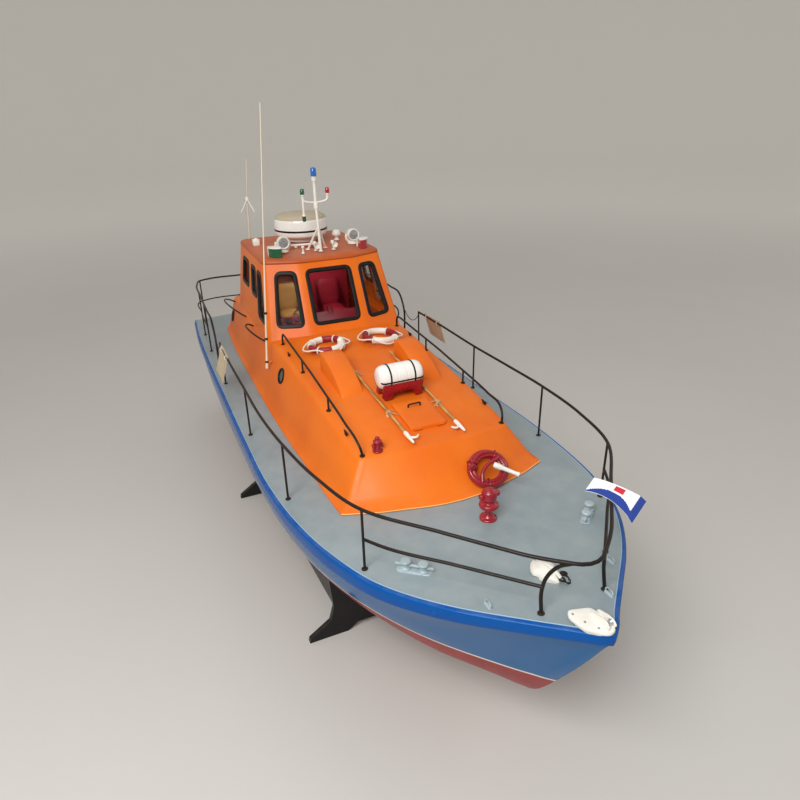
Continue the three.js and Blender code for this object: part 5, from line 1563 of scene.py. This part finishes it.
# Drives
def make_propellers():
    """Four-bladed propeller: each blade is a foil section whose chord grows and shrinks along the
    radius and whose pitch angle falls from 58 to 27 degrees. The hub is turned."""
    parts = [turned([(0, -10), (2.2, -9.2), (4.4, -6.4), (5.6, -2), (6.0, 7.4), (0, 7.6)], axis="x", sides=36,
                    soft=(3, 1.2))]
    a = circle(24)
    rows = []
    # radius, half chord, pitch angle
    for r, chord, pitch in ((4.0, 3.6, 58), (6.5, 5.6, 50), (9.5, 7.4, 42), (12.5, 7.8, 36), (15.0, 6.6, 32),
                            (16.8, 4.6, 29), (PROP_R - 0.1, 1.2, 27)):
        p = math.radians(pitch)
        along, thick = chord * np.cos(a), 0.75 * np.sin(a) * (1 - 0.25 * np.cos(a)) + 0.5 * np.cos(a) ** 2
        x = along * math.sin(p) - thick * math.cos(p)
        t = along * math.cos(p) + thick * math.sin(p)
        rows.append(np.column_stack([x * 0.85, t, np.sqrt(np.maximum(r * r - t * t * 0.5, 4))]))
    parts += [rotated(loft(rows), "x", quarter) for quarter in circle(4)]
    place = (PROP_X + 2.65, PROP_Y, PROP_Z)
    put_pair("four_blade_propeller_{}", [shifted(rotated(p, "y", -SHAFT_TILT), place) for p in parts], BRASS,
             "propeller_{}", "propeller_{}", slot="brass", sharp=40)


def make_shafts():
    """Shaft, its bearing boss and a strut whose section is an ellipse that widens up to the
    hull."""
    def line(*distances):
        """Points at these distances up the shaft's own line."""
        return [(PROP_X + d * math.cos(SHAFT_TILT), PROP_Y, PROP_Z + d * math.sin(SHAFT_TILT)) for d in distances]

    strut = even_path([(PROP_X + 21, PROP_Y, 58.0), (PROP_X + 22.5, PROP_Y, 72.0), (PROP_X + 24, PROP_Y, 80.0)], 8)
    parts = [tube(line(11.2, 60, 150), 3.9, 24), tube(line(11.0, 12.2, 28.8, 30), (5.4, 6.5, 6.5, 5.2), 28),
             sweep(strut, ring(1.0, 24) * (8.0, 1.7), up=(1, 0, 0), scale=np.linspace(1, 1.15, 8))]
    put_pair("shaft_and_strut_{}", parts, BRASS, "shaft_{}", slot="brass")


def make_rudders():
    """Spade rudder: a foil section lofted down its height with rounded ends, on a round stock."""
    a = circle(40)
    chord, thickness = 19.5, 3.1
    rows = []
    for z, share in ((40.2, 0.2), (40.6, 0.62), (41.8, 0.9), (44, 1.0), (58, 1.0), (70, 1.0), (72.4, 0.9),
                     (73.6, 0.62), (74, 0.2)):
        x = RUDDER_X - 6.5 + chord * (0.94 + 0.06 * share) * np.cos(a)
        thick = thickness * np.sin(a) * (0.62 + 0.38 * np.cos(a)) * share
        rows.append(lifted(np.column_stack([x, PROP_Y + thick]), z))
    stock = tube([(RUDDER_X, PROP_Y, 60.0), (RUDDER_X, PROP_Y, 97.5)], 2.35, 24)
    put_pair("spade_rudder_{}", [loft(rows), stock], BRASS, "rudder_{}", "rudder_{}", slot="brass", sharp=40)


make_propellers()
make_shafts()
make_rudders()


# Stage
def stage_paint():
    """Matt paint with painted light: paler from 0.8 m to 3.6 m from the object, where less light falls."""
    mat, tree, shader, vector = new_material("floor_with_painted_light")
    away = add_node(tree, "VectorMath", {0: vector}, operation="LENGTH").outputs["Value"]
    base = film(tree, vector, rgb(205, 202, 197), rgb(198, 194, 188), 0.5, 1.5, 0.5, 0.1, 40.0)
    # Painted light: the floor is made paler with distance to make up for the lamps' falloff
    paler = blend_colour(tree, span(tree, away, 0.8, 3.6), base["Colour"], rgb(250, 248, 243))
    feed(tree, shader["Base Color"], paler)
    feed(tree, shader["Roughness"], base["Roughness"])
    return mat


def level_axes(line):
    """Axes of a light whose back points along line and whose first axis is level."""
    back = unit(np.asarray(line, float))
    side = unit(np.cross((0, 0, 1), back))
    return side, np.cross(back, side), back


def make_stage():
    """Pale studio bowl: a level floor that turns up by a quarter circle into a distant wall, seen
    the same from all sides. One large soft key light stands beside the camera, with a fill from
    the port side, a soft light above, a faint one under the cabin roof and an even pale world."""
    a = np.linspace(-math.pi / 2, 0, 14)
    curve = np.column_stack([6000 + 3000 * np.cos(a), 3000 + 3000 * np.sin(a)])
    profile = np.vstack([[(2500, 0.0), (5000, 0.0)], curve, [(9000, 5500.0)]])
    turn = circle(96)
    reach, height = profile[:, :1], profile[:, 1:]
    bowl = np.stack([reach * np.cos(turn), reach * np.sin(turn), height + 0 * turn - 0.2], -1)
    put("floor", grid(bowl, wrap_n=True, cap="start"), stage_paint(), solid=True)
    # place, aim, energy, width in metres
    for name, place, aim, energy, width in (
            ("key", (800, -620, 1000), (120, 0, 180), 12.5, 0.6),
            ("fill", (300, 1500, 1000), (0, 0, 150), 2.2, 1.2),
            ("top", (-500, -200, 1800), (-50, 0, 150), 2.6, 1.4),
            ("cabin", (-190, 6, 344), (-205, 6, 200), 0.042, 0.06)):
        data = bpy.data.lights.new(name, "AREA")
        data.energy, data.size = energy, width
        light = bpy.data.objects.new(name, data)
        bpy.context.scene.collection.objects.link(light)
        axes = np.column_stack(level_axes(np.array(place) - np.array(aim)))
        light.matrix_world = Matrix.Translation(np.array(place) * MM) @ Matrix(axes.tolist()).to_4x4()
    world = bpy.data.worlds.new("world")
    world.use_nodes = True
    sky = world.node_tree.nodes["Background"].inputs
    sky["Color"].default_value = rgb(226, 223, 219)
    sky["Strength"].default_value = 0.62
    bpy.context.scene.world = world
    bpy.context.scene.view_settings.view_transform = "Standard"


make_stage()
